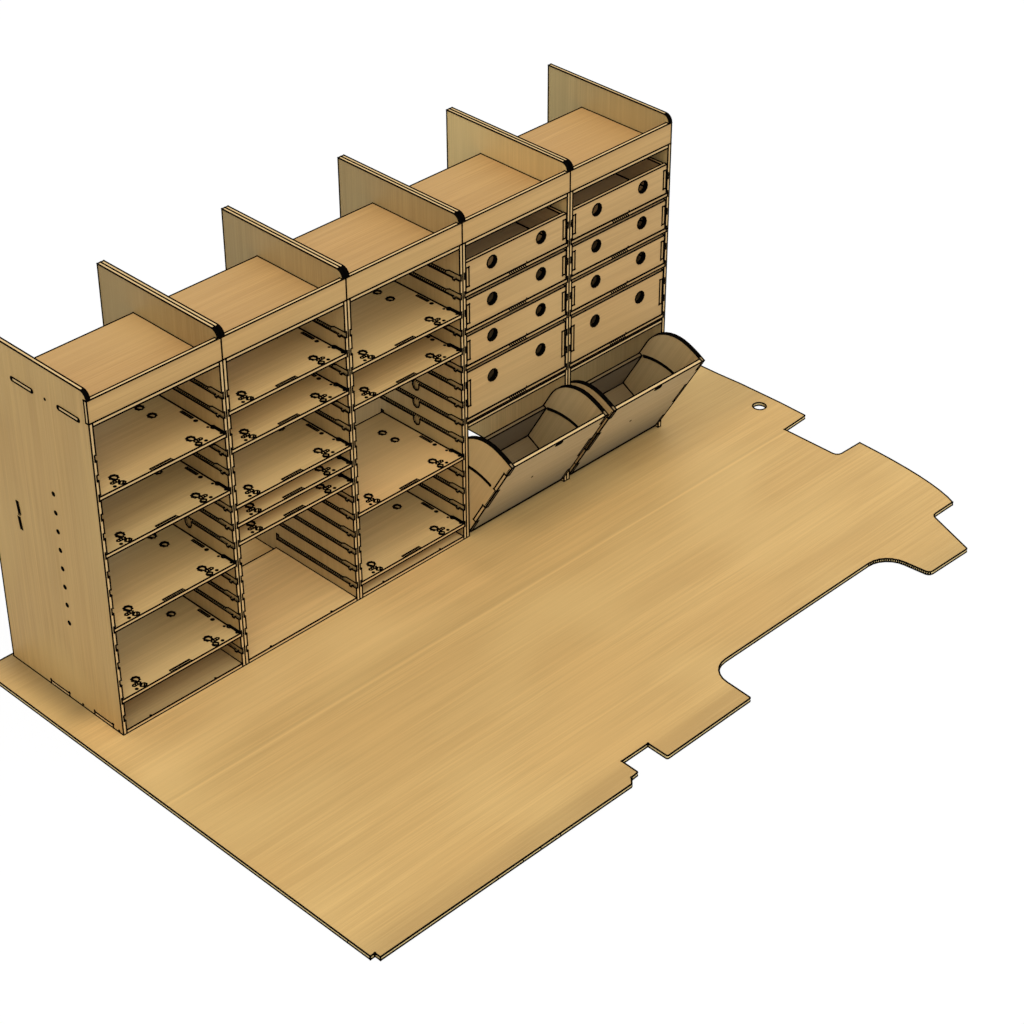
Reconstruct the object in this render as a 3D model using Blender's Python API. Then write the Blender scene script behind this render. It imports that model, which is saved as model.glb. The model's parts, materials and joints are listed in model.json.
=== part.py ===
"""Plywood racking for a load van.

Five bays stand side by side on the van's plywood floor.  Bays 1 to 3 carry
pull-out trays, bays 4 and 5 carry four drawers over a tilt-out bin.
All sizes are in metres.  X runs along the row, the fronts face -Y, Z is up.
"""

import math

import bmesh
import bpy
from mathutils import Matrix, Vector

# Sheet, clearances and cutting
PLY = 0.012
FLOOR_PLY = 0.009
SEAT_GAP = 0.0003
CUT_OVERRUN = 0.010

# Row of bays
BAY_COUNT = 5
BAY_PITCH = 0.470
RACK_DEPTH = 0.540
RACK_HEIGHT = 1.188

# Deck, lip and bottom panel
SHELF_DEPTH = 0.385
DECK_DROP = 0.1005
LIP_TOP_DROP = 0.027
HORN_EDGE = 0.002
TAB_SLOT_END_SEGMENTS = 4
TAB_SPAN_SHARES = ((0.108, 0.369), (0.655, 0.922))
BOTTOM_PANEL_BAYS = (1, 2, 3)

# Lacing slots behind the shelves
LACING_SLOT_WIDTH = 0.009
LACING_SLOT_HEIGHT = 0.040
LACING_SLOT_LEAN = 0.006
LACING_SLOT_STEP = 0.055
LACING_SLOT_INSET = 0.137
LACING_SLOT_HEIGHT_SHARE = 0.4983

# Routed grooves for trays and drawers
GROOVE_COUNT = 15
GROOVE_DEPTH = 0.005
GROOVE_HEADROOM = 0.0017
TOP_TRAY_DROP = 0.0997
LOWEST_TRAY_TOP = 0.0612
GROOVE_REAR_CLEARANCE = 0.004
LEAD_IN_DEPTH = 0.046
LEAD_IN_SLOPE = 0.015
LEAD_IN_RISE = 0.0063
DETENT_START = 0.020
DETENT_WIDTH = 0.014
DETENT_DEPTH = 0.0065
HOOK_WIDTH = 0.010
HOOK_RISE = 0.0083
POCKET_GROOVES = (4, 5, 6, 7, 8, 9, 10, 11)
POCKET_CENTRE = 0.211
POCKET_WIDTH = 0.030
POCKET_DEPTH = 0.026
POCKET_SEGMENTS = 4

# Trays
TRAY_DEPTH = 0.376
TRAY_SIDE_CLEARANCE = 0.0005
FOOT_RECESS_DIAMETER = 0.026
FOOT_RECESS_DEPTH = 0.003
FOOT_RECESS_SPREAD = 0.138
FOOT_RECESS_FRONT = 0.050
FOOT_RECESS_MIDDLE = 0.225
FOOT_RECESS_REAR = 0.284
FOOT_RECESS_SEGMENTS = 8
TRAYS_BY_BAY = {1: (3, 6, 10, 14), 2: (2, 4, 7, 8, 9), 3: (3, 5, 11, 15)}

# Drawers
DRAWER_BAYS = (4, 5)
DRAWER_GROOVES = (2, 4, 6, 9)
DRAWER_TOP_CLEARANCE = 0.0130
DRAWER_FRONT_SETBACK = 0.002
DRAWER_FRONT_CLEARANCE = 0.001
DRAWER_WALL_INSET = 0.0037
DRAWER_BACK_INSET = 0.006
DRAWER_BASE_HOUSING = 0.004
DRAWER_BACK_HOUSING = 0.004
DRAWER_BACK_DROP = 0.002
DRAWER_TAB_SHARES = (0.190, 0.816)
DEEP_DRAWER_TAB_SHARES = (0.261, 0.808)
FINGER_HOLE_DIAMETER = 0.042
FINGER_HOLE_SPREAD = 0.108
FINGER_HOLE_DROP_SHARE = 0.379
DEEP_FINGER_HOLE_DROP_SHARE = 0.336
FINGER_HOLE_SEGMENTS = 12
DIVIDER_DROP = 0.0069

# Tilt-out bins
PIVOT_SETBACK = 0.013
PIVOT_HEIGHT = 0.022
PIVOT_PIN_DIAMETER = 0.008
PIVOT_PIN_REACH = 0.010
PIN_BORE_CLEARANCE = 0.001
PIN_HOUSING = 0.008
BIN_SIDE_GAP = 0.002
BIN_DEPTH = 0.200
BIN_HEAD_CLEARANCE = 0.0055
BIN_CORNER_RADIUS = 0.145
BIN_FOOT_RADIUS = 0.012
BIN_FLOOR_RISE = 0.002
BIN_BACK_HEIGHT = 0.180
BIN_BACK_INSET = 0.001
BIN_FRONT_RISE = 0.016
BIN_JOINT_LAP = 0.001
BIN_TAB_SHARES = ((0.173, 0.395), (0.650, 0.881))
BIN_OPEN_DEG = 30.0
STOP_PEG_DIAMETER = 0.006
STOP_PEG_LEAN_DEG = 11.0
STOP_PEG_CLEARANCE = 0.001
STOP_SLOT_FRONT_DEG = 4.3
STOP_SLOT_PLAY_DEG = 0.1
STOP_SLOT_EDGE = 0.022
STOP_SLOT_SEGMENTS = 8
PULL_SLOT_LENGTH = 0.029
PULL_SLOT_WIDTH = 0.012
PULL_SLOT_DROP = 0.015
PIN_SEGMENTS = 12
ARC_SEGMENTS = 5

# Van floor
FLOOR_LENGTH = 2.867
FLOOR_WIDTH = 1.761
FLOOR_LEFT_MARGIN = 0.109
FLOOR_BACK_MARGIN = 0.011
FLOOR_RADIUS = 0.085
FLOOR_ARC_STEP = 0.020
FLOOR_LEAST_STEPS = 3
ARCH_START_SHARE = 0.537
ARCH_LENGTH = 0.885
ARCH_DEPTH = 0.191
CAB_BOW_SEGMENTS = 8
LASHING_HOLE_DIAMETER = 0.048
LASHING_HOLE_SHARES = (0.976, 0.596)
LASHING_HOLE_SEGMENTS = 16

# Inner corners of a wheel arch: along it, into the sheet, and the corner's radius
ARCH_SHARES = ((0.015, 1.000, 0.97), (0.981, 1.000, 1.03))

# Start and end of each wheel arch at the floor's edge, in the same order
NEAR_ARCH_END_SHARES = ((0.000, 0.068, 0.07), (1.000, 0.102, 0.21))
FAR_ARCH_END_SHARES = ((0.000, 0.000, 0.07), (1.000, 0.000, 0.21))

# Corners of the floor from its back left to the near wheel arch, with radius
FLOOR_NEAR_SHARES = (
    (0.0000, 1.0000, 0.00),
    (0.0000, 0.0120, 0.00),
    (0.0060, 0.0120, 0.00),
    (0.0060, 0.0000, 0.00),
    (0.3490, 0.0000, 0.10),
    (0.3560, 0.0116, 0.00),
    (0.3665, 0.0128, 0.05),
    (0.3675, 0.0505, 0.00),
    (0.4070, 0.0505, 0.00),
    (0.4060, 0.0055, 0.07),
)

# Corners from the near wheel arch to the bowed end at the cab, with radius
FLOOR_CAB_SHARES = (
    (0.9125, 0.0085, 0.07),
    (0.9380, 0.1190, 0.26),
)

# Start, pull and end of the bowed end at the cab
CAB_BOW_SHARES = ((0.9755, 0.1190), (0.9958, 0.1870), (0.9983, 0.3710))

# Corners from the bowed end past the door step to the back edge, with radius
FLOOR_STEP_SHARES = (
    (0.9575, 0.3725, 0.26),
    (0.9573, 0.5057, 0.00),
    (0.9990, 0.5090, 0.05),
    (1.0000, 0.5770, 0.00),
    (0.9990, 0.6800, 0.00),
    (0.9970, 0.7310, 0.00),
    (0.9920, 1.0000, 0.00),
)

# Derived sizes of the row
BAY_WIDTH = BAY_PITCH - SEAT_GAP
BAY_INSIDE = BAY_WIDTH - PLY - PLY
BAY_CENTRE = BAY_WIDTH / 2
DECK_TOP = RACK_HEIGHT - DECK_DROP
DECK_UNDERSIDE = DECK_TOP - PLY
LIP_TOP = RACK_HEIGHT - LIP_TOP_DROP
TOP_TRAY_TOP = DECK_UNDERSIDE - TOP_TRAY_DROP
GROOVE_PITCH = (TOP_TRAY_TOP - LOWEST_TRAY_TOP) / (GROOVE_COUNT - 1)
TRAY_WIDTH = BAY_INSIDE + 2 * (GROOVE_DEPTH - TRAY_SIDE_CLEARANCE)
GROOVE_END = TRAY_DEPTH + GROOVE_REAR_CLEARANCE
GROOVE_HEIGHT = SEAT_GAP + PLY + GROOVE_HEADROOM
TAB_SLOT_WIDTH = SEAT_GAP + PLY + SEAT_GAP
STOP_SLOT_WIDTH = STOP_PEG_DIAMETER + STOP_PEG_CLEARANCE

# Colours of the sheet, linear values
UPRIGHT_COLOUR = (0.66, 0.46, 0.24, 1.0)
SHELF_COLOUR = (0.68, 0.48, 0.25, 1.0)
DRAWER_COLOUR = (0.62, 0.43, 0.22, 1.0)
BIN_COLOUR = (0.55, 0.41, 0.24, 1.0)
FLOOR_COLOUR = (0.64, 0.43, 0.20, 1.0)
PLY_ROUGHNESS = 0.55

# Faces that turn by less than this, in radians, count as one flat face
FLAT_ANGLE = 0.0005


def tray_top(groove):
    """Height of the sheet that runs in a groove, counted from the top."""
    return TOP_TRAY_TOP - (groove - 1) * GROOVE_PITCH


DRAWER_4_TOP_OF_BASE = tray_top(DRAWER_GROOVES[-1])
DIVIDER_TOP = DRAWER_4_TOP_OF_BASE - PLY - DIVIDER_DROP
DIVIDER_UNDERSIDE = DIVIDER_TOP - PLY
BIN_TOP_RADIUS = DIVIDER_UNDERSIDE - BIN_HEAD_CLEARANCE - PIVOT_HEIGHT
STOP_SLOT_END_DEG = STOP_PEG_LEAN_DEG + BIN_OPEN_DEG + STOP_SLOT_PLAY_DEG
STOP_RADIUS = (
    (BIN_DEPTH - STOP_SLOT_EDGE - PIVOT_SETBACK)
    / math.sin(math.radians(STOP_SLOT_END_DEG))
)


def clear_scene():
    for thing in list(bpy.data.objects):
        bpy.data.objects.remove(thing, do_unlink=True)


def add_collection(name):
    collection = bpy.data.collections.new(name)
    bpy.context.scene.collection.children.link(collection)
    return collection


def ply_material(name, colour):
    material = bpy.data.materials.new(name)
    material.use_nodes = True
    shader = material.node_tree.nodes["Principled BSDF"]
    shader.inputs["Base Color"].default_value = colour
    shader.inputs["Roughness"].default_value = PLY_ROUGHNESS
    shader.inputs["Metallic"].default_value = 0.0
    material.diffuse_color = colour
    return material


# Outlines in the plane of a sheet
def rectangle(left, right, low, high):
    return [(left, low), (right, low), (right, high), (left, high)]


def arc_points(centre, radius, start_deg, end_deg, segments):
    """Points on an arc, with angles counted from the first axis."""
    points = []
    for step in range(segments + 1):
        angle = math.radians(start_deg + (end_deg - start_deg) * step / segments)
        points.append((
            centre[0] + radius * math.cos(angle),
            centre[1] + radius * math.sin(angle),
        ))
    return points


def circle(centre, diameter, segments):
    return arc_points(centre, diameter / 2, 0.0, 360.0, segments)[:-1]


def clock_point(radius, lean_deg):
    """Point on a circle round zero, leaning from the upright to the back."""
    angle = math.radians(lean_deg)
    return (radius * math.sin(angle), radius * math.cos(angle))


def arc_slot(radius, width, start_lean, end_lean, segments):
    """Round-ended slot that follows a circle round zero."""
    half = width / 2
    outer = []
    inner = []
    for step in range(segments + 1):
        lean = start_lean + (end_lean - start_lean) * step / segments
        outer.append(clock_point(radius + half, lean))
        inner.append(clock_point(radius - half, lean))
    far = arc_points(
        clock_point(radius, end_lean), half, 90.0 - end_lean, -90.0 - end_lean, ARC_SEGMENTS
    )
    near = arc_points(
        clock_point(radius, start_lean), half, 270.0 - start_lean, 90.0 - start_lean,
        ARC_SEGMENTS,
    )
    return outer[1:-1] + far + inner[-2:0:-1] + near


def straight_slot(centre, length, width, segments):
    half = width / 2
    reach = length / 2 - half
    right = arc_points((centre[0] + reach, centre[1]), half, -90.0, 90.0, segments)
    left = arc_points((centre[0] - reach, centre[1]), half, 90.0, 270.0, segments)
    return right + left


def corner_arc(before, corner, after, radius):
    """Arc that rounds a corner between two straight runs."""
    here = Vector(corner)
    back = (Vector(before) - here).normalized()
    onward = (Vector(after) - here).normalized()
    half = back.angle(onward) / 2
    centre = here + (back + onward).normalized() * (radius / math.sin(half))
    start = here + back * (radius / math.tan(half)) - centre
    turn = math.pi - 2 * half
    steps = max(FLOOR_LEAST_STEPS, round(radius * turn / FLOOR_ARC_STEP))
    start_deg = math.degrees(math.atan2(start.y, start.x))
    turn_deg = math.copysign(math.degrees(turn), onward.cross(back))
    return arc_points(centre, radius, start_deg, start_deg + turn_deg, steps)


def rounded_outline(corners):
    """Closed outline from corners that each carry a radius, zero for a sharp one."""
    points = []
    for index, (along, across, radius) in enumerate(corners):
        if radius == 0:
            points.append((along, across))
            continue
        before = corners[index - 1][:2]
        after = corners[(index + 1) % len(corners)][:2]
        points += corner_arc(before, (along, across), after, radius)
    return points


def bowed_points(start, pull, end, segments):
    """Points on a smooth bow from start to end, drawn towards the pull."""
    points = []
    for step in range(segments + 1):
        share = step / segments
        first = Vector(start).lerp(Vector(pull), share)
        second = Vector(pull).lerp(Vector(end), share)
        points.append(tuple(first.lerp(second, share)))
    return points


# Solids from outlines
def sheet_mesh(name, loops, thickness):
    """Flat sheet from closed outlines, centred on its plane."""
    curve = bpy.data.curves.new(name + "_outline", "CURVE")
    curve.dimensions = "2D"
    curve.fill_mode = "BOTH"
    curve.extrude = thickness / 2
    for loop in loops:
        spline = curve.splines.new("POLY")
        spline.points.add(len(loop) - 1)
        for point, place in zip(spline.points, loop):
            point.co = (place[0], place[1], 0.0, 1.0)
        spline.use_cyclic_u = True
    holder = bpy.data.objects.new(name + "_holder", curve)
    bpy.context.scene.collection.objects.link(holder)
    depsgraph = bpy.context.evaluated_depsgraph_get()
    mesh = bpy.data.meshes.new_from_object(holder.evaluated_get(depsgraph))
    mesh.name = name
    bpy.data.objects.remove(holder, do_unlink=True)
    bpy.data.curves.remove(curve)
    shell = bmesh.new()
    shell.from_mesh(mesh)
    bmesh.ops.remove_doubles(shell, verts=shell.verts, dist=0.00001)
    caps = [face for face in shell.faces if len(face.verts) == 3]
    inner = [edge for edge in shell.edges if all(face in caps for face in edge.link_faces)]
    bmesh.ops.beautify_fill(shell, faces=caps, edges=inner, use_restrict_tag=False, method="ANGLE")
    bmesh.ops.recalc_face_normals(shell, faces=shell.faces)
    shell.to_mesh(mesh)
    shell.free()
    return mesh


def joined_mesh(name, placed):
    """Several closed bodies in one mesh, each a mesh with a matrix."""
    shell = bmesh.new()
    for mesh, matrix in placed:
        before = len(shell.verts)
        shell.from_mesh(mesh)
        shell.verts.ensure_lookup_table()
        bmesh.ops.transform(shell, matrix=matrix, verts=shell.verts[before:])
    mesh = bpy.data.meshes.new(name)
    shell.to_mesh(mesh)
    shell.free()
    return mesh


def combined_mesh(name, base, changes, cutters):
    """Base mesh after Boolean changes, each an operation and a mesh."""
    body = bpy.data.objects.new(name + "_blank", base)
    cutters.objects.link(body)
    tools = []
    for operation, mesh in changes:
        tool = bpy.data.objects.new(name + "_tool", mesh)
        tool.hide_render = True
        tool.display_type = "WIRE"
        cutters.objects.link(tool)
        step = body.modifiers.new(operation.lower(), "BOOLEAN")
        step.operation = operation
        step.solver = "EXACT"
        step.object = tool
        tools.append(tool)
    depsgraph = bpy.context.evaluated_depsgraph_get()
    mesh = bpy.data.meshes.new_from_object(body.evaluated_get(depsgraph))
    mesh.name = name
    for thing in [body] + tools:
        bpy.data.objects.remove(thing, do_unlink=True)
    merge_flat_faces(mesh)
    return mesh


def merge_flat_faces(mesh):
    """Joins faces that lie in one plane, then cuts them into fewer triangles."""
    shell = bmesh.new()
    shell.from_mesh(mesh)
    bmesh.ops.dissolve_limit(
        shell, angle_limit=FLAT_ANGLE, verts=shell.verts, edges=shell.edges
    )
    bmesh.ops.triangulate(shell, faces=shell.faces, ngon_method="BEAUTY")
    shell.to_mesh(mesh)
    shell.free()


def mirrored_mesh(name, mesh):
    """Opposite hand of a mesh, mirrored across its own plane X = 0."""
    shell = bmesh.new()
    shell.from_mesh(mesh)
    for vert in shell.verts:
        vert.co.x = -vert.co.x
    bmesh.ops.reverse_faces(shell, faces=shell.faces)
    copy = bpy.data.meshes.new(name)
    shell.to_mesh(copy)
    shell.free()
    return copy


def upright_turn():
    """Turns an outline of (Y, Z) points into a sheet square to X."""
    return Matrix(((0, 0, 1, 0), (1, 0, 0, 0), (0, 1, 0, 0), (0, 0, 0, 1)))


def facing_turn():
    """Turns an outline of (X, Z) points into a sheet square to Y."""
    return Matrix(((1, 0, 0, 0), (0, 0, -1, 0), (0, 1, 0, 0), (0, 0, 0, 1)))


def moved(x, y, z):
    return Matrix.Translation((x, y, z))


def place(name, mesh, collection, parent, location, material):
    thing = bpy.data.objects.new(name, mesh)
    thing.data.materials.clear()
    thing.data.materials.append(material)
    thing.parent = parent
    thing.location = location
    collection.objects.link(thing)
    return thing


# Side panels
def slot_spans():
    return [(SHELF_DEPTH * near, SHELF_DEPTH * far) for near, far in TAB_SPAN_SHARES]


def tab_spans():
    """Tabs of a shelf, which leave a slot's round ends empty."""
    end = TAB_SLOT_WIDTH / 2
    return [(near + end, far - end) for near, far in slot_spans()]


def upright_outline():
    """Side of a bay: open notches below, the lip's seat and a rounded corner above."""
    points = [(0.0, 0.0)]
    for near, far in tab_spans():
        points += [
            (near - SEAT_GAP, 0.0),
            (near - SEAT_GAP, PLY + SEAT_GAP),
            (far + SEAT_GAP, PLY + SEAT_GAP),
            (far + SEAT_GAP, 0.0),
        ]
    points += [(RACK_DEPTH, 0.0), (RACK_DEPTH, RACK_HEIGHT)]
    radius = LIP_TOP_DROP - HORN_EDGE
    points += arc_points((radius, RACK_HEIGHT - radius), radius, 90.0, 180.0, ARC_SEGMENTS)
    seat = PLY + SEAT_GAP
    points += [
        (0.0, LIP_TOP + SEAT_GAP),
        (seat, LIP_TOP + SEAT_GAP),
        (seat, DECK_TOP),
        (0.0, DECK_TOP),
    ]
    return points


def shelf_slots(underside):
    """Through slots for the tabs of a fixed shelf."""
    middle = underside + PLY / 2
    return [
        straight_slot(((near + far) / 2, middle), far - near, TAB_SLOT_WIDTH, TAB_SLOT_END_SEGMENTS)
        for near, far in slot_spans()
    ]


def lacing_slots():
    """Two slots, one over the other, whose tops lean to the rear."""
    across = RACK_DEPTH - LACING_SLOT_INSET
    middle = RACK_HEIGHT * LACING_SLOT_HEIGHT_SHARE
    slots = []
    for side in (-1, 1):
        height = middle + side * LACING_SLOT_STEP / 2
        left, right = across - LACING_SLOT_WIDTH / 2, across + LACING_SLOT_WIDTH / 2
        low, high = height - LACING_SLOT_HEIGHT / 2, height + LACING_SLOT_HEIGHT / 2
        lean = LACING_SLOT_LEAN / 2
        slots.append([
            (left - lean, low),
            (right - lean, low),
            (right + lean, high),
            (left + lean, high),
        ])
    return slots


def pocket_points(floor):
    """Round-bottomed pocket that drops below a groove."""
    half = POCKET_WIDTH / 2
    bottom = arc_points(
        (POCKET_CENTRE, floor - POCKET_DEPTH + half), half, 180.0, 360.0, POCKET_SEGMENTS
    )
    return [(POCKET_CENTRE - half, floor)] + bottom + [(POCKET_CENTRE + half, floor)]


def groove_outline(groove):
    """Groove with a raised mouth, a drop for the detent and a hook at its end."""
    floor = tray_top(groove) - PLY - SEAT_GAP
    ceiling = floor + GROOVE_HEIGHT
    far = DETENT_START + DETENT_WIDTH
    bevel = DETENT_WIDTH / 4
    points = [
        (-CUT_OVERRUN, floor),
        (DETENT_START, floor),
        (DETENT_START + bevel, floor - DETENT_DEPTH),
        (far - bevel, floor - DETENT_DEPTH),
        (far, floor),
    ]
    if groove in POCKET_GROOVES:
        points += pocket_points(floor)
    points += [
        (GROOVE_END, floor),
        (GROOVE_END, ceiling + HOOK_RISE),
        (GROOVE_END - HOOK_WIDTH, ceiling + HOOK_RISE),
        (GROOVE_END - HOOK_WIDTH, ceiling),
        (LEAD_IN_DEPTH + LEAD_IN_SLOPE, ceiling),
        (LEAD_IN_DEPTH, ceiling + LEAD_IN_RISE),
        (-CUT_OVERRUN, ceiling + LEAD_IN_RISE),
    ]
    return points


def groove_cutter(count):
    """The upper grooves of one side panel, sunk into its inner face at +X."""
    depth = GROOVE_DEPTH + CUT_OVERRUN
    centre = PLY / 2 - GROOVE_DEPTH + depth / 2
    placed = []
    for groove in range(1, count + 1):
        sheet = sheet_mesh("groove", [groove_outline(groove)], depth)
        placed.append((sheet, moved(centre, 0.0, 0.0) @ upright_turn()))
    return joined_mesh("grooves", placed)


def pin_mesh(diameter, across, height, reach):
    """Round pin across the bay, housed in the side panel's inner face."""
    length = PIN_HOUSING + reach
    centre = PLY / 2 - PIN_HOUSING + length / 2
    shell = bmesh.new()
    bmesh.ops.create_cone(
        shell,
        cap_ends=True,
        segments=PIN_SEGMENTS,
        radius1=diameter / 2,
        radius2=diameter / 2,
        depth=length,
    )
    mesh = bpy.data.meshes.new("pin")
    shell.to_mesh(mesh)
    shell.free()
    return joined_mesh("pin", [(mesh, moved(centre, across, height) @ upright_turn())])


def upright_mesh(cutters, for_bin):
    """Left-hand side panel about its own middle plane."""
    loops = [upright_outline()] + shelf_slots(DECK_UNDERSIDE) + lacing_slots()
    grooves = GROOVE_COUNT
    if for_bin:
        loops += shelf_slots(DIVIDER_UNDERSIDE)
        grooves = DRAWER_GROOVES[-1]
    sheet = sheet_mesh("upright", loops, PLY)
    blank = joined_mesh("upright", [(sheet, upright_turn())])
    changes = [("DIFFERENCE", groove_cutter(grooves))]
    if for_bin:
        peg_across, peg_height = clock_point(STOP_RADIUS, STOP_PEG_LEAN_DEG)
        changes.append(("UNION", pin_mesh(
            PIVOT_PIN_DIAMETER, PIVOT_SETBACK, PIVOT_HEIGHT, BIN_SIDE_GAP + PIVOT_PIN_REACH
        )))
        changes.append(("UNION", pin_mesh(
            STOP_PEG_DIAMETER,
            PIVOT_SETBACK + peg_across,
            PIVOT_HEIGHT + peg_height,
            BIN_SIDE_GAP + PLY,
        )))
    return combined_mesh("upright", blank, changes, cutters)


# Fixed shelves and lips
def shelf_mesh():
    """Deck, divider or bottom panel with two tabs in each side panel."""
    inner = BAY_INSIDE / 2 - SEAT_GAP
    outer = BAY_WIDTH / 2
    right = []
    for near, far in tab_spans():
        right += [(inner, near), (outer, near), (outer, far), (inner, far)]
    left = [(-across, depth) for across, depth in reversed(right)]
    points = [(-inner, 0.0), (inner, 0.0)] + right
    points += [(inner, SHELF_DEPTH), (-inner, SHELF_DEPTH)] + left
    return sheet_mesh("shelf", [points], PLY)


def lip_mesh():
    half = BAY_WIDTH / 2
    sheet = sheet_mesh("lip", [rectangle(-half, half, DECK_TOP + SEAT_GAP, LIP_TOP)], PLY)
    return joined_mesh("lip", [(sheet, facing_turn())])


# Trays
def foot_recess_cutter():
    """Six round recesses in a tray's top, three on each side."""
    depth = FOOT_RECESS_DEPTH + CUT_OVERRUN
    middle = PLY / 2 - FOOT_RECESS_DEPTH + depth / 2
    placed = []
    for across in (-FOOT_RECESS_SPREAD, FOOT_RECESS_SPREAD):
        for back in (FOOT_RECESS_FRONT, FOOT_RECESS_MIDDLE, FOOT_RECESS_REAR):
            outline = circle((across, back), FOOT_RECESS_DIAMETER, FOOT_RECESS_SEGMENTS)
            placed.append((sheet_mesh("recess", [outline], depth), moved(0.0, 0.0, middle)))
    return joined_mesh("recesses", placed)


def tray_mesh(cutters):
    """Pull-out tray with shallow recesses for the feet of tool cases."""
    half = TRAY_WIDTH / 2
    sheet = sheet_mesh("tray", [rectangle(-half, half, 0.0, TRAY_DEPTH)], PLY)
    return combined_mesh("tray", sheet, [("DIFFERENCE", foot_recess_cutter())], cutters)


# Drawers, built about the top of their base
def drawer_height(index):
    """Height of a drawer's front above its base."""
    groove = DRAWER_GROOVES[index]
    room = tray_top(groove - drawer_span(index)) - tray_top(groove)
    return room - PLY - DRAWER_TOP_CLEARANCE


def drawer_span(index):
    """Grooves that a drawer fills, the top one as many as the next."""
    if index == 0:
        return DRAWER_GROOVES[1] - DRAWER_GROOVES[0]
    return DRAWER_GROOVES[index] - DRAWER_GROOVES[index - 1]


def drawer_tabs(index):
    height = drawer_height(index)
    deep = index == len(DRAWER_GROOVES) - 1
    low, high = DEEP_DRAWER_TAB_SHARES if deep else DRAWER_TAB_SHARES
    return height * low, height * high


def drawer_box_mesh(index, cutters):
    """Base that runs in the grooves, with two side walls and a back wall."""
    height = drawer_height(index)
    low, high = drawer_tabs(index)
    half = TRAY_WIDTH / 2
    base = sheet_mesh("base", [rectangle(-half, half, 0.0, TRAY_DEPTH)], PLY)
    base = joined_mesh("base", [(base, moved(0.0, 0.0, -PLY / 2))])
    front = DRAWER_FRONT_SETBACK + PLY + SEAT_GAP
    back = TRAY_DEPTH - DRAWER_BACK_INSET
    foot = -DRAWER_BASE_HOUSING
    wall = [
        (front, foot),
        (back, foot),
        (back, height),
        (front, height),
        (front, high),
        (DRAWER_FRONT_SETBACK, high),
        (DRAWER_FRONT_SETBACK, low),
        (front, low),
    ]
    outer = BAY_INSIDE / 2 - DRAWER_WALL_INSET
    changes = []
    for side in (-1, 1):
        sheet = sheet_mesh("wall", [wall], PLY)
        placed = (sheet, moved(side * (outer - PLY / 2), 0.0, 0.0) @ upright_turn())
        changes.append(("UNION", joined_mesh("wall", [placed])))
    reach = outer - PLY + DRAWER_BACK_HOUSING
    rear = rectangle(-reach, reach, foot / 2, height - DRAWER_BACK_DROP)
    sheet = sheet_mesh("back", [rear], PLY)
    middle = back - DRAWER_BACK_INSET - PLY / 2
    changes.append(("UNION", joined_mesh("back", [(sheet, moved(0.0, middle, 0.0) @ facing_turn())])))
    return combined_mesh("drawer_box", base, changes, cutters)


def drawer_front_mesh(index):
    """Front with two finger holes, held by the tabs of the side walls."""
    height = drawer_height(index)
    low, high = drawer_tabs(index)
    deep = index == len(DRAWER_GROOVES) - 1
    half = BAY_INSIDE / 2 - DRAWER_FRONT_CLEARANCE
    drop = height * (DEEP_FINGER_HOLE_DROP_SHARE if deep else FINGER_HOLE_DROP_SHARE)
    outer = BAY_INSIDE / 2 - DRAWER_WALL_INSET
    loops = [rectangle(-half, half, SEAT_GAP, height)]
    for side in (-1, 1):
        loops.append(circle(
            (side * FINGER_HOLE_SPREAD, height - drop), FINGER_HOLE_DIAMETER, FINGER_HOLE_SEGMENTS
        ))
        edges = sorted((side * (outer + SEAT_GAP), side * (outer - PLY - SEAT_GAP)))
        loops.append(rectangle(edges[0], edges[1], low - SEAT_GAP, high + SEAT_GAP))
    sheet = sheet_mesh("drawer_front", loops, PLY)
    return joined_mesh("drawer_front", [(sheet, facing_turn())])


# Tilt-out bins, built closed about the pivot
BIN_FACE = -PIVOT_SETBACK
BIN_REAR = BIN_DEPTH - PIVOT_SETBACK
BIN_FRONT_TOP = math.sqrt(BIN_TOP_RADIUS ** 2 - BIN_FACE ** 2)
BIN_FRONT_FOOT = BIN_FRONT_RISE - PIVOT_HEIGHT
BIN_INSIDE = BAY_INSIDE - 2 * (BIN_SIDE_GAP + PLY)


def bin_tab_spans():
    height = BIN_FRONT_TOP - BIN_FRONT_FOOT
    return [
        (BIN_FRONT_FOOT + height * low, BIN_FRONT_FOOT + height * high)
        for low, high in BIN_TAB_SHARES
    ]


def bin_side_outline():
    """Side of a bin: a foot round the pivot, a big corner and an arc round the pivot."""
    corner = BIN_REAR - BIN_CORNER_RADIUS
    reach = BIN_TOP_RADIUS - BIN_CORNER_RADIUS
    corner_height = math.sqrt(reach ** 2 - corner ** 2)
    meet = math.degrees(math.atan2(corner_height, corner))
    start = math.degrees(math.atan2(BIN_FRONT_TOP, BIN_FACE))
    points = arc_points((BIN_FACE + BIN_FOOT_RADIUS, 0.0), BIN_FOOT_RADIUS, 180.0, 270.0, ARC_SEGMENTS)
    points.append((BIN_REAR, -BIN_FOOT_RADIUS))
    points += arc_points(
        (corner, corner_height), BIN_CORNER_RADIUS, 0.0, meet, 2 * ARC_SEGMENTS
    )
    points += arc_points((0.0, 0.0), BIN_TOP_RADIUS, meet, start, ARC_SEGMENTS)[1:]
    notch = BIN_FACE + PLY + SEAT_GAP
    for low, high in reversed(bin_tab_spans()):
        points += [
            (BIN_FACE, high + SEAT_GAP),
            (notch, high + SEAT_GAP),
            (notch, low - SEAT_GAP),
            (BIN_FACE, low - SEAT_GAP),
        ]
    return points


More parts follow.
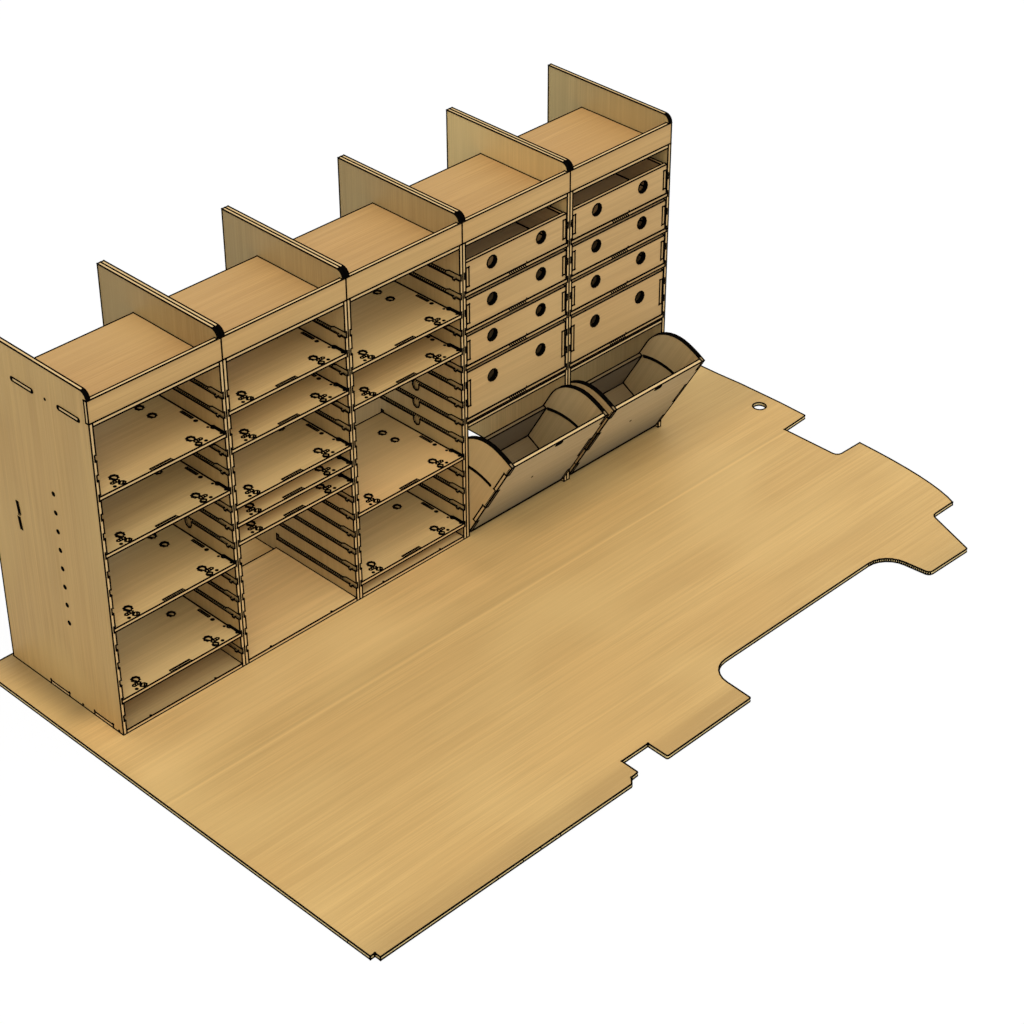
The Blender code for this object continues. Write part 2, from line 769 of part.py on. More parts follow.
def bin_tub_mesh(cutters):
    """Two sides joined by a floor and a back of one angled profile."""
    bore = circle((0.0, 0.0), PIVOT_PIN_DIAMETER + PIN_BORE_CLEARANCE, PIN_SEGMENTS)
    slot = arc_slot(
        STOP_RADIUS, STOP_SLOT_WIDTH, STOP_SLOT_FRONT_DEG, STOP_SLOT_END_DEG, STOP_SLOT_SEGMENTS
    )
    placed = []
    for side in (-1, 1):
        sheet = sheet_mesh("bin_side", [bin_side_outline(), bore, slot], PLY)
        placed.append((sheet, moved(side * (BIN_INSIDE + PLY) / 2, 0.0, 0.0) @ upright_turn()))
    front = BIN_FACE + PLY + SEAT_GAP
    rear = BIN_REAR - BIN_BACK_INSET
    low = BIN_FLOOR_RISE
    high = BIN_FLOOR_RISE + BIN_BACK_HEIGHT
    profile = [
        (front, low),
        (rear, low),
        (rear, high),
        (rear - PLY, high),
        (rear - PLY, low + PLY),
        (front, low + PLY),
    ]
    trough = sheet_mesh("trough", [profile], BIN_INSIDE + 2 * BIN_JOINT_LAP)
    trough = joined_mesh("trough", [(trough, upright_turn())])
    changes = [("UNION", joined_mesh("bin_side", [one])) for one in placed]
    return combined_mesh("bin_tub", trough, changes, cutters)


def bin_front_mesh():
    """Front between the sides, with two tabs in each and a pull slot."""
    inner = BIN_INSIDE / 2 - SEAT_GAP
    outer = BIN_INSIDE / 2 + PLY
    right = []
    for low, high in bin_tab_spans():
        right += [(inner, low), (outer, low), (outer, high), (inner, high)]
    left = [(-across, height) for across, height in reversed(right)]
    points = [(-inner, BIN_FRONT_FOOT), (inner, BIN_FRONT_FOOT)] + right
    points += [(inner, BIN_FRONT_TOP), (-inner, BIN_FRONT_TOP)] + left
    spot = (0.0, BIN_FRONT_TOP - PULL_SLOT_DROP)
    pull = straight_slot(spot, PULL_SLOT_LENGTH, PULL_SLOT_WIDTH, ARC_SEGMENTS)
    sheet = sheet_mesh("bin_front", [points, pull], PLY)
    return joined_mesh("bin_front", [(sheet, moved(0.0, BIN_FACE + PLY / 2, 0.0) @ facing_turn())])


# Van floor
def floor_outline():
    left = -FLOOR_LEFT_MARGIN
    back = RACK_DEPTH + FLOOR_BACK_MARGIN
    near = back - FLOOR_WIDTH
    arch = left + FLOOR_LENGTH * ARCH_START_SHARE

    def spot(along, across):
        return (left + FLOOR_LENGTH * along, near + FLOOR_WIDTH * across)

    def corners(shares):
        return [(*spot(along, across), FLOOR_RADIUS * radius) for along, across, radius in shares]

    def arch_corners(edge, inward, ends):
        return [
            (arch + ARCH_LENGTH * along, edge + inward * ARCH_DEPTH * into, FLOOR_RADIUS * radius)
            for along, into, radius in (ends[0], *ARCH_SHARES, ends[1])
        ]

    bow = bowed_points(*[spot(*place) for place in CAB_BOW_SHARES], CAB_BOW_SEGMENTS)
    outline = corners(FLOOR_NEAR_SHARES)
    outline += arch_corners(near, 1, NEAR_ARCH_END_SHARES)
    outline += corners(FLOOR_CAB_SHARES)
    outline += [(along, across, 0.0) for along, across in bow]
    outline += corners(FLOOR_STEP_SHARES)
    outline += reversed(arch_corners(back, -1, FAR_ARCH_END_SHARES))
    hole = circle(spot(*LASHING_HOLE_SHARES), LASHING_HOLE_DIAMETER, LASHING_HOLE_SEGMENTS)
    return rounded_outline(outline), hole


def floor_mesh():
    return sheet_mesh("floor", list(floor_outline()), FLOOR_PLY)


# Assembly
def add_empty(name, collection, parent, location):
    empty = bpy.data.objects.new(name, None)
    empty.parent = parent
    empty.location = location
    collection.objects.link(empty)
    return empty


def build_uprights(parts, bays, plain, with_pins, material):
    for bay, frame in bays.items():
        mesh = with_pins if bay in DRAWER_BAYS else plain
        place(f"side_panel_{bay}_left", mesh, parts, frame, (PLY / 2, 0.0, 0.0), material)
        other = mirrored_mesh("upright_right", mesh)
        place(f"side_panel_{bay}_right", other, parts, frame, (BAY_WIDTH - PLY / 2, 0.0, 0.0), material)


def build_shelves(parts, bays, material):
    shelf = shelf_mesh()
    lip = lip_mesh()
    for bay, frame in bays.items():
        deck = (BAY_CENTRE, 0.0, DECK_UNDERSIDE + PLY / 2)
        place(f"deck_{bay}", shelf, parts, frame, deck, material)
        place(f"front_lip_{bay}", lip, parts, frame, (BAY_CENTRE, PLY / 2, 0.0), material)
        if bay in BOTTOM_PANEL_BAYS:
            place(f"bottom_panel_{bay}", shelf, parts, frame, (BAY_CENTRE, 0.0, PLY / 2), material)
        if bay in DRAWER_BAYS:
            shelf_height = DIVIDER_UNDERSIDE + PLY / 2
            place(f"divider_shelf_{bay}", shelf, parts, frame, (BAY_CENTRE, 0.0, shelf_height), material)


def build_trays(parts, cutters, bays, material):
    tray = tray_mesh(cutters)
    for bay, grooves in TRAYS_BY_BAY.items():
        for count, groove in enumerate(grooves, start=1):
            spot = (BAY_CENTRE, 0.0, tray_top(groove) - PLY / 2)
            place(f"tray_{bay}_{count}", tray, parts, bays[bay], spot, material)


def build_drawers(parts, cutters, bays, material):
    for index, groove in enumerate(DRAWER_GROOVES):
        box = drawer_box_mesh(index, cutters)
        front = drawer_front_mesh(index)
        for bay in DRAWER_BAYS:
            name = f"drawer_{bay}_{index + 1}"
            spot = (BAY_CENTRE, 0.0, tray_top(groove))
            drawer = add_empty(name, parts, bays[bay], spot)
            place(name + "_box", box, parts, drawer, (0.0, 0.0, 0.0), material)
            face = (0.0, DRAWER_FRONT_SETBACK + PLY / 2, 0.0)
            place(name + "_front", front, parts, drawer, face, material)


def build_bins(parts, cutters, bays, material):
    tub = bin_tub_mesh(cutters)
    front = bin_front_mesh()
    for bay in DRAWER_BAYS:
        spot = (BAY_CENTRE, PIVOT_SETBACK, PIVOT_HEIGHT)
        pivot = add_empty(f"bin_{bay}_pivot", parts, bays[bay], spot)
        pivot.rotation_euler.x = math.radians(BIN_OPEN_DEG)
        place(f"bin_{bay}_tub", tub, parts, pivot, (0.0, 0.0, 0.0), material)
        place(f"bin_{bay}_front", front, parts, pivot, (0.0, 0.0, 0.0), material)


def main():
    clear_scene()
    parts = add_collection("van_racking")
    cutters = add_collection("cutters")
    middle = FLOOR_LENGTH / 2 - FLOOR_LEFT_MARGIN
    across = RACK_DEPTH + FLOOR_BACK_MARGIN - FLOOR_WIDTH / 2
    root = add_empty("racking", parts, None, (-middle, -across, FLOOR_PLY + SEAT_GAP))
    bays = {}
    for bay in range(1, BAY_COUNT + 1):
        bays[bay] = add_empty(f"bay_{bay}", parts, root, ((bay - 1) * BAY_PITCH, 0.0, 0.0))
    upright = ply_material("upright_ply", UPRIGHT_COLOUR)
    shelf = ply_material("shelf_ply", SHELF_COLOUR)
    drawer = ply_material("drawer_ply", DRAWER_COLOUR)
    tilt_bin = ply_material("bin_ply", BIN_COLOUR)
    lining = ply_material("floor_ply", FLOOR_COLOUR)
    plain = upright_mesh(cutters, False)
    with_pins = upright_mesh(cutters, True)
    build_uprights(parts, bays, plain, with_pins, upright)
    build_shelves(parts, bays, shelf)
    build_trays(parts, cutters, bays, shelf)
    build_drawers(parts, cutters, bays, drawer)
    build_bins(parts, cutters, bays, tilt_bin)
    height = -SEAT_GAP - FLOOR_PLY / 2
    place("floor_panel", floor_mesh(), parts, root, (0.0, 0.0, height), lining)


main()
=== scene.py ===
"""Finish and stage for a five-bay plywood racking on a fitted van floor.

The racking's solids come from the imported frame.  This file gives each sheet
its birch grain and layered edges, chars the cut edges, mills the small marks
into trays, panels, drawers and bins, and sets the stage.  All sizes are in
metres.  X runs along the row, the fronts face -Y and Z is up.
"""

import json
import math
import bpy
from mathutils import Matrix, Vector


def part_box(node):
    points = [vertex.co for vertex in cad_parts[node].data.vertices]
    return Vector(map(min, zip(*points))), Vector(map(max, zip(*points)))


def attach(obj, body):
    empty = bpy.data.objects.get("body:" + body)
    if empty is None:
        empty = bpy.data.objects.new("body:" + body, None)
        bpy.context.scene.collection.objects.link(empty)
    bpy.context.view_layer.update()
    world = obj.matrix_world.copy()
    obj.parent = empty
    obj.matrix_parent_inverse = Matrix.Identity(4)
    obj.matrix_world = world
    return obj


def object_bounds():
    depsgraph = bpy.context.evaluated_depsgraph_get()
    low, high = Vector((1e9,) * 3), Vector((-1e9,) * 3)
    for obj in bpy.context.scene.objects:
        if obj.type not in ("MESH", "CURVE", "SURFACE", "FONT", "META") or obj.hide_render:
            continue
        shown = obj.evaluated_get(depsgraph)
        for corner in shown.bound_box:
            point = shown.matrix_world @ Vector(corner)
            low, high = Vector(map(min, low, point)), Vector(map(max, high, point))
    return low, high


bl_info = {
    "name": "Van racking finish",
    "version": (1, 0, 0),
    "blender": (4, 5, 0),
    "location": "3D View > Sidebar > Racking",
    "description": "Grain, charred edges and milled marks of a plywood van racking",
    "category": "Object",
}

import bmesh
import bpy
from bpy.props import FloatProperty, FloatVectorProperty, IntProperty, PointerProperty
from mathutils import Matrix, Vector

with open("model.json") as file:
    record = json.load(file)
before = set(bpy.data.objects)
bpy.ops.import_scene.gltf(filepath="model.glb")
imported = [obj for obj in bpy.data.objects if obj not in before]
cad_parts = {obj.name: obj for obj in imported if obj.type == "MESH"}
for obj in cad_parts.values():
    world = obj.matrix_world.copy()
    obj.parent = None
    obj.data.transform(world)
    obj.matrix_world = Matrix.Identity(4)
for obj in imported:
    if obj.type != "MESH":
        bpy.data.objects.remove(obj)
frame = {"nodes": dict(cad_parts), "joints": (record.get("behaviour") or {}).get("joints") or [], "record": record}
CAD_BOX = [list(corner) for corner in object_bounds()]
BODIES = frame["record"]["behaviour"]["bodies"]

# Where the row of bays stands in the frame
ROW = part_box("side_panel_1_left")[0]
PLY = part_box("side_panel_1_left")[1].x - ROW.x
BAY_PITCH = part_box("side_panel_2_left")[0].x - ROW.x
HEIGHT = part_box("side_panel_1_left")[1].z - ROW.z
MM = 0.001


def row_spot(x, y, z):
    """Point of the frame from millimetres along, behind and above the row's start."""
    return Vector((ROW.x + x * MM, ROW.y + y * MM, ROW.z + z * MM))


def wall_spot(wall, y, z):
    """Point of a wall across the row, from millimetres behind and above the row's start."""
    spot = row_spot(0, y, z)
    return Vector((wall, spot.y, spot.z))


def from_screen(red, green, blue):
    """Linear colour of a screen colour from 0 to 255."""
    linear = []
    for value in (red, green, blue):
        share = value / 255
        linear.append(share / 12.92 if share < 0.04045 else ((share + 0.055) / 1.055) ** 2.4)
    return (*linear, 1.0)


# Settings
def length_setting(name, description, default, least=0.0005, most=0.01, precision=4):
    return FloatProperty(
        name=name, description=description, default=default, min=least, max=most,
        unit="LENGTH", subtype="DISTANCE", precision=precision,
    )


def colour_setting(name, description, *screen_colour):
    return FloatVectorProperty(
        name=name, description=description, default=from_screen(*screen_colour),
        size=4, subtype="COLOR", min=0.0, max=1.0,
    )


DISC_SIDES = 12


class RackingSizes(bpy.types.PropertyGroup):
    char_width: length_setting(
        "Charred edge width", "Width of the dark bar along each cut edge", 0.0052,
    )
    char_angle: FloatProperty(
        name="Sharp edge angle",
        description="Faces that meet at more than this have a charred edge",
        default=math.radians(32.0), unit="ROTATION", subtype="ANGLE",
    )
    mark_width: length_setting(
        "Milled line width", "Width of the dark lines milled into the trays", 0.0056,
    )
    hatch_pitch: length_setting(
        "Runner hatch pitch", "Distance between the ticks at the back of a runner groove",
        0.0085, 0.002, 0.02,
    )
    hatch_width: length_setting(
        "Runner hatch width", "Width of one tick in a runner groove", 0.0038,
    )
    comb_width: length_setting(
        "Comb tooth width", "Width of one tooth of the combs in trays, drawers and bins", 0.0046,
    )
    disc_sides: IntProperty(
        name="Dot sides",
        description="Number of sides of a pilot hole's dark dot",
        default=DISC_SIDES, min=6, max=32,
    )
    layer_pitch: length_setting(
        "Veneer pitch", "Thickness of one pair of veneers in a sheet's edge", 0.00268,
        precision=5,
    )


class RackingColours(bpy.types.PropertyGroup):
    upright: colour_setting("Side panels", "Face veneer of the side panels", 200, 164, 102)
    shelf: colour_setting("Shelves", "Face veneer of decks and dividers", 199, 158, 99)
    lip: colour_setting("Lips", "Face veneer of the decks' front lips", 208, 171, 112)
    tray: colour_setting("Trays", "Face veneer of the sliding trays and bottom panels", 212, 180, 121)
    drawer: colour_setting("Drawers", "Face veneer of the drawers", 206, 171, 115)
    tilt_bin: colour_setting("Bins", "Face veneer of the tilting bins", 216, 186, 130)
    # Bin fronts: veneer greyed as painted shade of their down-facing lean
    bin_front: colour_setting("Bin fronts", "Greyer face veneer of the bins' fronts", 190, 176, 144)
    van_floor: colour_setting("Van floor", "Face veneer of the floor panel", 217, 179, 114)
    cut_edge: colour_setting("Cut edge", "Pale veneers that show in a sheet's edge", 232, 198, 140)
    char: colour_setting("Char", "Scorched arrises and milled lines", 7, 6, 5)
    ground: colour_setting("Ground", "Pale ground under the floor panel", 205, 205, 205)


# Nodes
class NodeWriter:
    """Short way to add and join the nodes of one tree."""

    def __init__(self, tree):
        self.tree = tree

    def add(self, kind, inputs=None, **settings):
        node = self.tree.nodes.new(kind)
        for key, value in settings.items():
            setattr(node, key, value)
        for key, value in (inputs or {}).items():
            self.feed(node.inputs[key], value)
        return node

    def feed(self, socket, value):
        if isinstance(value, bpy.types.NodeSocket):
            self.tree.links.new(value, socket)
        else:
            socket.default_value = value

    def maths(self, operation, *values):
        node = self.add("ShaderNodeMath", dict(enumerate(values)), operation=operation)
        return node.outputs[0]

    def vectors(self, operation, *values):
        node = self.add("ShaderNodeVectorMath", dict(enumerate(values)), operation=operation)
        return node.outputs["Value" if operation == "LENGTH" else "Vector"]


# Materials
class Finish(NodeWriter):
    """A material with its shader and the colour sums that veneers need."""

    def __init__(self, name):
        self.material = bpy.data.materials.new(name)
        self.material.use_nodes = True
        super().__init__(self.material.node_tree)
        self.shader = self.tree.nodes["Principled BSDF"]

    def times(self, vector, factors):
        return self.vectors("MULTIPLY", vector, factors)

    def mix(self, share, first, second):
        inputs = {"Factor": share, 6: first, 7: second}
        return self.add("ShaderNodeMix", inputs, data_type="RGBA").outputs[2]

    def mix_vectors(self, share, first, second):
        inputs = {"Factor": share, 4: first, 5: second}
        return self.add("ShaderNodeMix", inputs, data_type="VECTOR").outputs[1]

    def noise(self, vector, detail=2.0, roughness=0.5):
        node = self.add(
            "ShaderNodeTexNoise",
            {"Vector": vector, "Scale": 1.0, "Detail": detail, "Roughness": roughness},
        )
        return node.outputs["Fac"]

    def levels(self, value, low, high, start=0.0, end=1.0, **settings):
        ends = {"From Min": low, "From Max": high, "To Min": start, "To Max": end}
        return self.add("ShaderNodeMapRange", {"Value": value, **ends}, **settings).outputs[0]


def shaded(colour, factor, warmth=0.0):
    """Colour made lighter or darker, and warmer or cooler."""
    return (
        min(colour[0] * factor * (1 + warmth), 1.0),
        min(colour[1] * factor, 1.0),
        min(colour[2] * factor * (1 - warmth), 1.0),
        1.0,
    )


AXES = ("X", "Y", "Z")
WHITE = (1.0, 1.0, 1.0, 1.0)


def stretch(grain_axis, along, across):
    """Noise scale that is slow along the grain and fast across it."""
    return tuple(along if axis == grain_axis else across for axis in AXES)


# Half height of a painted shade patch or painted light patch, in metres: more than any sheet's thickness
PAINTED_PATCH_HALF_HEIGHT = 10.0


def painted_patch_share(finish, spot, along, back, reach):
    """Share that is 1 on an oblong of the face and fades to 0 around it."""
    middle = row_spot((along[0] + along[1]) / 2, (back[0] + back[1]) / 2, 0)
    half = ((along[1] - along[0]) / 2 * MM, (back[1] - back[0]) / 2 * MM, PAINTED_PATCH_HALF_HEIGHT)
    apart = finish.vectors("ABSOLUTE", finish.vectors("SUBTRACT", spot, tuple(middle)))
    beyond = finish.vectors("MAXIMUM", finish.vectors("SUBTRACT", apart, half), (0.0, 0.0, 0.0))
    away = finish.vectors("LENGTH", beyond)
    return finish.levels(away, 0.0, reach * MM, 1.0, 0.0, interpolation_type="SMOOTHSTEP")


# Noise of the veneer: turns a metre along and across the grain, detail and roughness
VENEER_NOISE = {
    "fine": (3.2, 260.0, 3.0, 0.62),
    "streak": (1.3, 62.0, 3.0, 0.55),
    "band": (0.55, 9.0, 2.0, 0.5),
}
PATCH_SCALE = (1.7, 2.9, 2.1)

# What lies over the bands: the noise, the two levels of it between which the layer
# changes, how much of it shows at both, and its brightness and warmth
VENEER_LAYERS = (
    ("streak", 0.40, 0.66, 0.0, 0.70, 0.80, 0.03),
    ("fine", 0.42, 0.62, 0.0, 0.60, 0.78, 0.04),
    ("patch", 0.46, 0.68, 0.0, 0.60, 1.08, -0.03),
    ("patch", 0.30, 0.48, 0.45, 0.0, 0.94, 0.05),
)

# The joint of two boards: a pale line with a dark one beside it, each with its place,
# its half width, the distance at which it is gone, its strength and its brightness
JOINT_LINES = ((0.0, 0.001, 0.007, 0.50, 1.20), (0.012, 0.002, 0.008, 0.40, 0.80))

# A face lies square to an axis when its normal's part along it is more than this
SQUARE_ENOUGH = 0.7

# Flecks of a cut edge: their turns a metre, how pale they and the dark veneers are
FLECK_SCALE = (90.0, 90.0, 90.0)
FLECK_TONES, CORE_TONE = (0.93, 1.05), (0.90, 0.03)

# How rough the wood is in its darkest and palest grain, how much it shines, and how
# strong and how deep in metres the grain's relief is
ROUGHNESS, SHINE = (0.50, 0.62), 0.22
RELIEF, RELIEF_DEPTH = 0.12, 0.0004


def ply_finish(
    name, tone, edge_tone, sheet_axis, turn=None, joint_line=None, grains=None, tints=None,
    fade=None, wear=(),
):
    """Birch ply: streaks along the grain, broad bands, layered cut edges.

    sheet_axis is the axis square to the sheet, or None where sheets of several directions meet in one piece.
    grains gives the grain's axis on faces square to X, Y and Z, and tints the painted shade factor of the sheets
    square to Y and Z.  fade gives an axis, two places on it and the colour factors there, painted light and shade
    along that axis, and wear the patches of painted shade and painted light on the face.
    """
    sizes = bpy.context.scene.racking_sizes
    finish = Finish(name)
    grains = grains or {"X": "Z", "Y": "X", "Z": "X"}
    source = finish.add("ShaderNodeTexCoord")
    spot = source.outputs["Object"]
    normal = source.outputs["Normal"]
    if turn is not None:
        pivot, angle = turn
        centred = finish.vectors("SUBTRACT", spot, pivot)
        spot, normal = (
            finish.add(
                "ShaderNodeVectorRotate", {"Vector": way, "Angle": angle}, rotation_type="X_AXIS"
            ).outputs[0]
            for way in (centred, normal)
        )
    facing = finish.add("ShaderNodeSeparateXYZ", {0: normal})
    squares = {}
    for axis, output in zip(AXES, facing.outputs):
        squares[axis] = finish.maths("GREATER_THAN", finish.maths("ABSOLUTE", output), SQUARE_ENOUGH)

    def grain(along, across):
        scale = finish.mix_vectors(
            squares["X"],
            finish.mix_vectors(
                squares["Y"],
                stretch(grains["Z"], along, across),
                stretch(grains["Y"], along, across),
            ),
            stretch(grains["X"], along, across),
        )
        return finish.times(spot, scale)

    noises = {}
    for kind, (along, across, detail, roughness) in VENEER_NOISE.items():
        noises[kind] = finish.noise(grain(along, across), detail, roughness)
    noises["patch"] = finish.noise(finish.times(spot, PATCH_SCALE), 1.0, 0.4)
    base = finish.mix(
        finish.levels(noises["band"], 0.32, 0.68), shaded(tone, 0.95, 0.01), shaded(tone, 1.05, 0.01)
    )
    for kind, low, high, start, end, factor, warmth in VENEER_LAYERS:
        share = finish.levels(noises[kind], low, high, start, end)
        base = finish.mix(share, base, shaded(tone, factor, warmth))
    if joint_line is not None:
        place = finish.add("ShaderNodeSeparateXYZ", {0: spot})
        for shift, half, gone, strength, factor in JOINT_LINES:
            beside = finish.maths("SUBTRACT", place.outputs[1], joint_line + shift)
            share = finish.levels(finish.maths("ABSOLUTE", beside), half, gone, strength, 0.0)
            base = finish.mix(share, base, shaded(tone, factor))
    # Painted shade and painted light: the veneer made darker or lighter along an axis
    if fade is not None:
        axis, low, high, first, second = fade
        place = finish.add("ShaderNodeSeparateXYZ", {0: spot})
        share = finish.levels(place.outputs[AXES.index(axis)], low, high)
        base = finish.times(base, finish.mix(share, first, second))
    # Patches of painted shade and painted light on the face
    for along, back, reach, factor in wear:
        share = painted_patch_share(finish, spot, along, back, reach)
        base = finish.times(base, finish.mix(share, WHITE, factor))
    # Painted shade: faces square to Y and Z made darker than those square to X
    if tints is not None:
        tint = finish.mix(squares["Y"], finish.mix(squares["Z"], WHITE, tints["Z"]), tints["Y"])
        base = finish.times(base, tint)
    finish.feed(finish.shader.inputs["Base Color"], base)
    if sheet_axis is not None:
        place = finish.add("ShaderNodeSeparateXYZ", {0: spot})
        depth = place.outputs[AXES.index(sheet_axis)]
        turns = finish.maths("MULTIPLY", depth, 2 * math.pi / sizes.layer_pitch)
        layer = finish.levels(finish.maths("SINE", turns), -0.35, 0.35)
        flecks = finish.levels(finish.noise(finish.times(spot, FLECK_SCALE)), 0.35, 0.7)
        veneer = finish.mix(flecks, *(shaded(edge_tone, factor) for factor in FLECK_TONES))
        edge = finish.mix(layer, veneer, shaded(edge_tone, *CORE_TONE))
        finish.feed(
            finish.shader.inputs["Base Color"], finish.mix(squares[sheet_axis], edge, base)
        )
    rough = finish.levels(noises["fine"], 0.3, 0.7, *ROUGHNESS)
    finish.feed(finish.shader.inputs["Roughness"], rough)
    finish.feed(finish.shader.inputs["Specular IOR Level"], SHINE)
    bump = finish.add("ShaderNodeBump", {
        "Height": noises["fine"], "Strength": RELIEF, "Distance": RELIEF_DEPTH,
    })
    finish.feed(finish.shader.inputs["Normal"], bump.outputs[0])
    finish.material.diffuse_color = tone
    return finish.material


def char_finish(name, tone):
    """Matt brown-black of a scorched cut."""
    finish = Finish(name)
    source = finish.add("ShaderNodeTexCoord")
    speckle = finish.noise(finish.times(source.outputs["Object"], (140.0, 140.0, 140.0)), 2.0)
    colour = finish.mix(finish.levels(speckle, 0.35, 0.7), tone, shaded(tone, 1.5, 0.1))
    finish.feed(finish.shader.inputs["Base Color"], colour)
    finish.feed(finish.shader.inputs["Roughness"], finish.levels(speckle, 0.3, 0.7, 0.72, 0.88))
    finish.feed(finish.shader.inputs["Specular IOR Level"], 0.0)
    finish.material.diffuse_color = tone
    return finish.material


def get_char():
    name = "scorched_cut"
    made = bpy.data.materials.get(name)
    return made or char_finish(name, tuple(bpy.context.scene.racking_colours.char))


# Node trees
# How much wider a charred line is in an inside corner, and the pieces that differ
INSIDE_GAIN = 0.5
INSIDE_GAINS = {"rack": -0.6}


def new_tree(name, sockets):
    tree = bpy.data.node_groups.new(name, "GeometryNodeTree")
    tree.interface.new_socket("Geometry", in_out="INPUT", socket_type="NodeSocketGeometry")
    for label, kind, default in sockets:
        socket = tree.interface.new_socket(label, in_out="INPUT", socket_type=kind)
        if default is not None:
            socket.default_value = default
    tree.interface.new_socket("Geometry", in_out="OUTPUT", socket_type="NodeSocketGeometry")
    return tree


def grow(writer, points, shape, turn, scale, material):
    """Puts a shape on every point and ends the tree in real geometry with its material."""
    placed = writer.add("GeometryNodeInstanceOnPoints", {
        "Points": points.outputs[0], "Instance": shape.outputs[0],
        "Rotation": turn.outputs[0], "Scale": scale,
    })
    realised = writer.add("GeometryNodeRealizeInstances", {0: placed.outputs[0]})
    painted = writer.add(
        "GeometryNodeSetMaterial", {"Geometry": realised.outputs[0], "Material": material}
    )
    writer.add("NodeGroupOutput", {0: painted.outputs[0]})


# How far a bar runs past its edge, against its width and against the edge's length,
# and the least signed angle of an inside corner
BAR_OVER_WIDTH, BAR_OVER_LENGTH = 0.8, 0.25
INSIDE_ANGLE = -0.1
BAR_SIDES = 6


def edge_bar_tree(name):
    """A bar along each edge whose faces meet at more than an angle."""
    tree = new_tree(name, (
        ("Width", "NodeSocketFloat", 0.003),
        ("Angle", "NodeSocketFloat", 0.4),
        ("Inside gain", "NodeSocketFloat", INSIDE_GAIN),
        ("Material", "NodeSocketMaterial", None),
    ))
    bars = NodeWriter(tree)
    given = bars.add("NodeGroupInput").outputs
    angle = bars.add("GeometryNodeInputMeshEdgeAngle").outputs
    sharp = bars.add(
        "FunctionNodeCompare", {0: angle[0], 1: given["Angle"]}, operation="GREATER_EQUAL"
    )
    inside = bars.add("FunctionNodeCompare", {0: angle[1], 1: INSIDE_ANGLE}, operation="LESS_THAN")
    ends = bars.add("GeometryNodeInputMeshEdgeVertices").outputs
    along = bars.vectors("SUBTRACT", ends["Position 2"], ends["Position 1"])
    kept = bars.add("GeometryNodeCaptureAttribute", domain="EDGE")
    kept.capture_items.new("VECTOR", "Along")
    kept.capture_items.new("FLOAT", "Inside corner")
    for place, value in enumerate((given["Geometry"], along, inside.outputs[0])):
        bars.feed(kept.inputs[place], value)
    points = bars.add(
        "GeometryNodeMeshToPoints", {"Mesh": kept.outputs[0], "Selection": sharp.outputs[0]},
        mode="EDGES",
    )
    turn = bars.add("FunctionNodeAlignRotationToVector", {"Vector": kept.outputs[1]}, axis="Z")
    far = bars.vectors("LENGTH", kept.outputs[1])
    spare = bars.maths("MULTIPLY", given["Width"], BAR_OVER_WIDTH)
    short = bars.maths("MULTIPLY", far, BAR_OVER_LENGTH)
    reach = bars.maths("ADD", far, bars.maths("MINIMUM", spare, short))
    factor = bars.maths("MULTIPLY_ADD", kept.outputs[2], given["Inside gain"], 1.0)
    wide = bars.maths("MULTIPLY", given["Width"], factor)
    scale = bars.add("ShaderNodeCombineXYZ", {0: wide, 1: wide, 2: reach})
    shape = bars.add(
        "GeometryNodeMeshCylinder", {"Vertices": BAR_SIDES, "Radius": 0.5, "Depth": 1.0}
    )
    grow(bars, points, shape, turn, scale.outputs[0], given["Material"])
    return tree


def spot_tree(name, round_sides):
    """A bar or a disc on each vertex, sized and turned by its attributes."""
    tree = new_tree(name, (
        ("Sides", "NodeSocketInt", round_sides or 4),
        ("Material", "NodeSocketMaterial", None),
    ))
    spots = NodeWriter(tree)
    given = spots.add("NodeGroupInput").outputs
    points = spots.add("GeometryNodeMeshToPoints", {"Mesh": given["Geometry"]}, mode="VERTICES")
    if round_sides:
        shape = spots.add(
            "GeometryNodeMeshCylinder", {"Vertices": given["Sides"], "Radius": 0.5, "Depth": 1.0}
        )
    else:
        shape = spots.add("GeometryNodeMeshCube")
    size, lean = (
        spots.add(
            "GeometryNodeInputNamedAttribute", {"Name": label}, data_type="FLOAT_VECTOR"
        ).outputs[0]
        for label in ("spot_size", "spot_turn")
    )
    turn = spots.add("FunctionNodeEulerToRotation", {0: lean})
    grow(spots, points, shape, turn, size, given["Material"])
    return tree


def get_tree(name):
    made = bpy.data.node_groups.get(name)
    if made:
        return made
    if name == "edge_bars":
        return edge_bar_tree(name)
    if name == "bars":
        return spot_tree("bars", 0)
    return spot_tree("discs", DISC_SIDES)


def add_object(name, data):
    thing = bpy.data.objects.new(name, data)
    bpy.context.scene.collection.objects.link(thing)
    return thing


def mesh_of(name, shell):
    """Mesh of an edited shell, which is freed."""
    mesh = bpy.data.meshes.new(name)
    shell.to_mesh(mesh)
    shell.free()
    return mesh


def grown(name, mesh, tree, values):
    """Mesh that a node tree makes from a seed mesh, as a plain mesh."""
    holder = add_object(name + "_seed", mesh)
    step = holder.modifiers.new("growth", "NODES")
    step.node_group = tree
    sockets = {
        item.name: item.identifier
        for item in tree.interface.items_tree
        if item.item_type == "SOCKET" and item.in_out == "INPUT"
    }
    for label, value in values.items():
        step[sockets[label]] = value
    depsgraph = bpy.context.evaluated_depsgraph_get()
    result = bpy.data.meshes.new_from_object(holder.evaluated_get(depsgraph))
    result.name = name
    bpy.data.objects.remove(holder, do_unlink=True)
    return result


# Thickness of a flat bar or dot whose middle lies in its sheet's face
FLAT_BAR = 0.0012


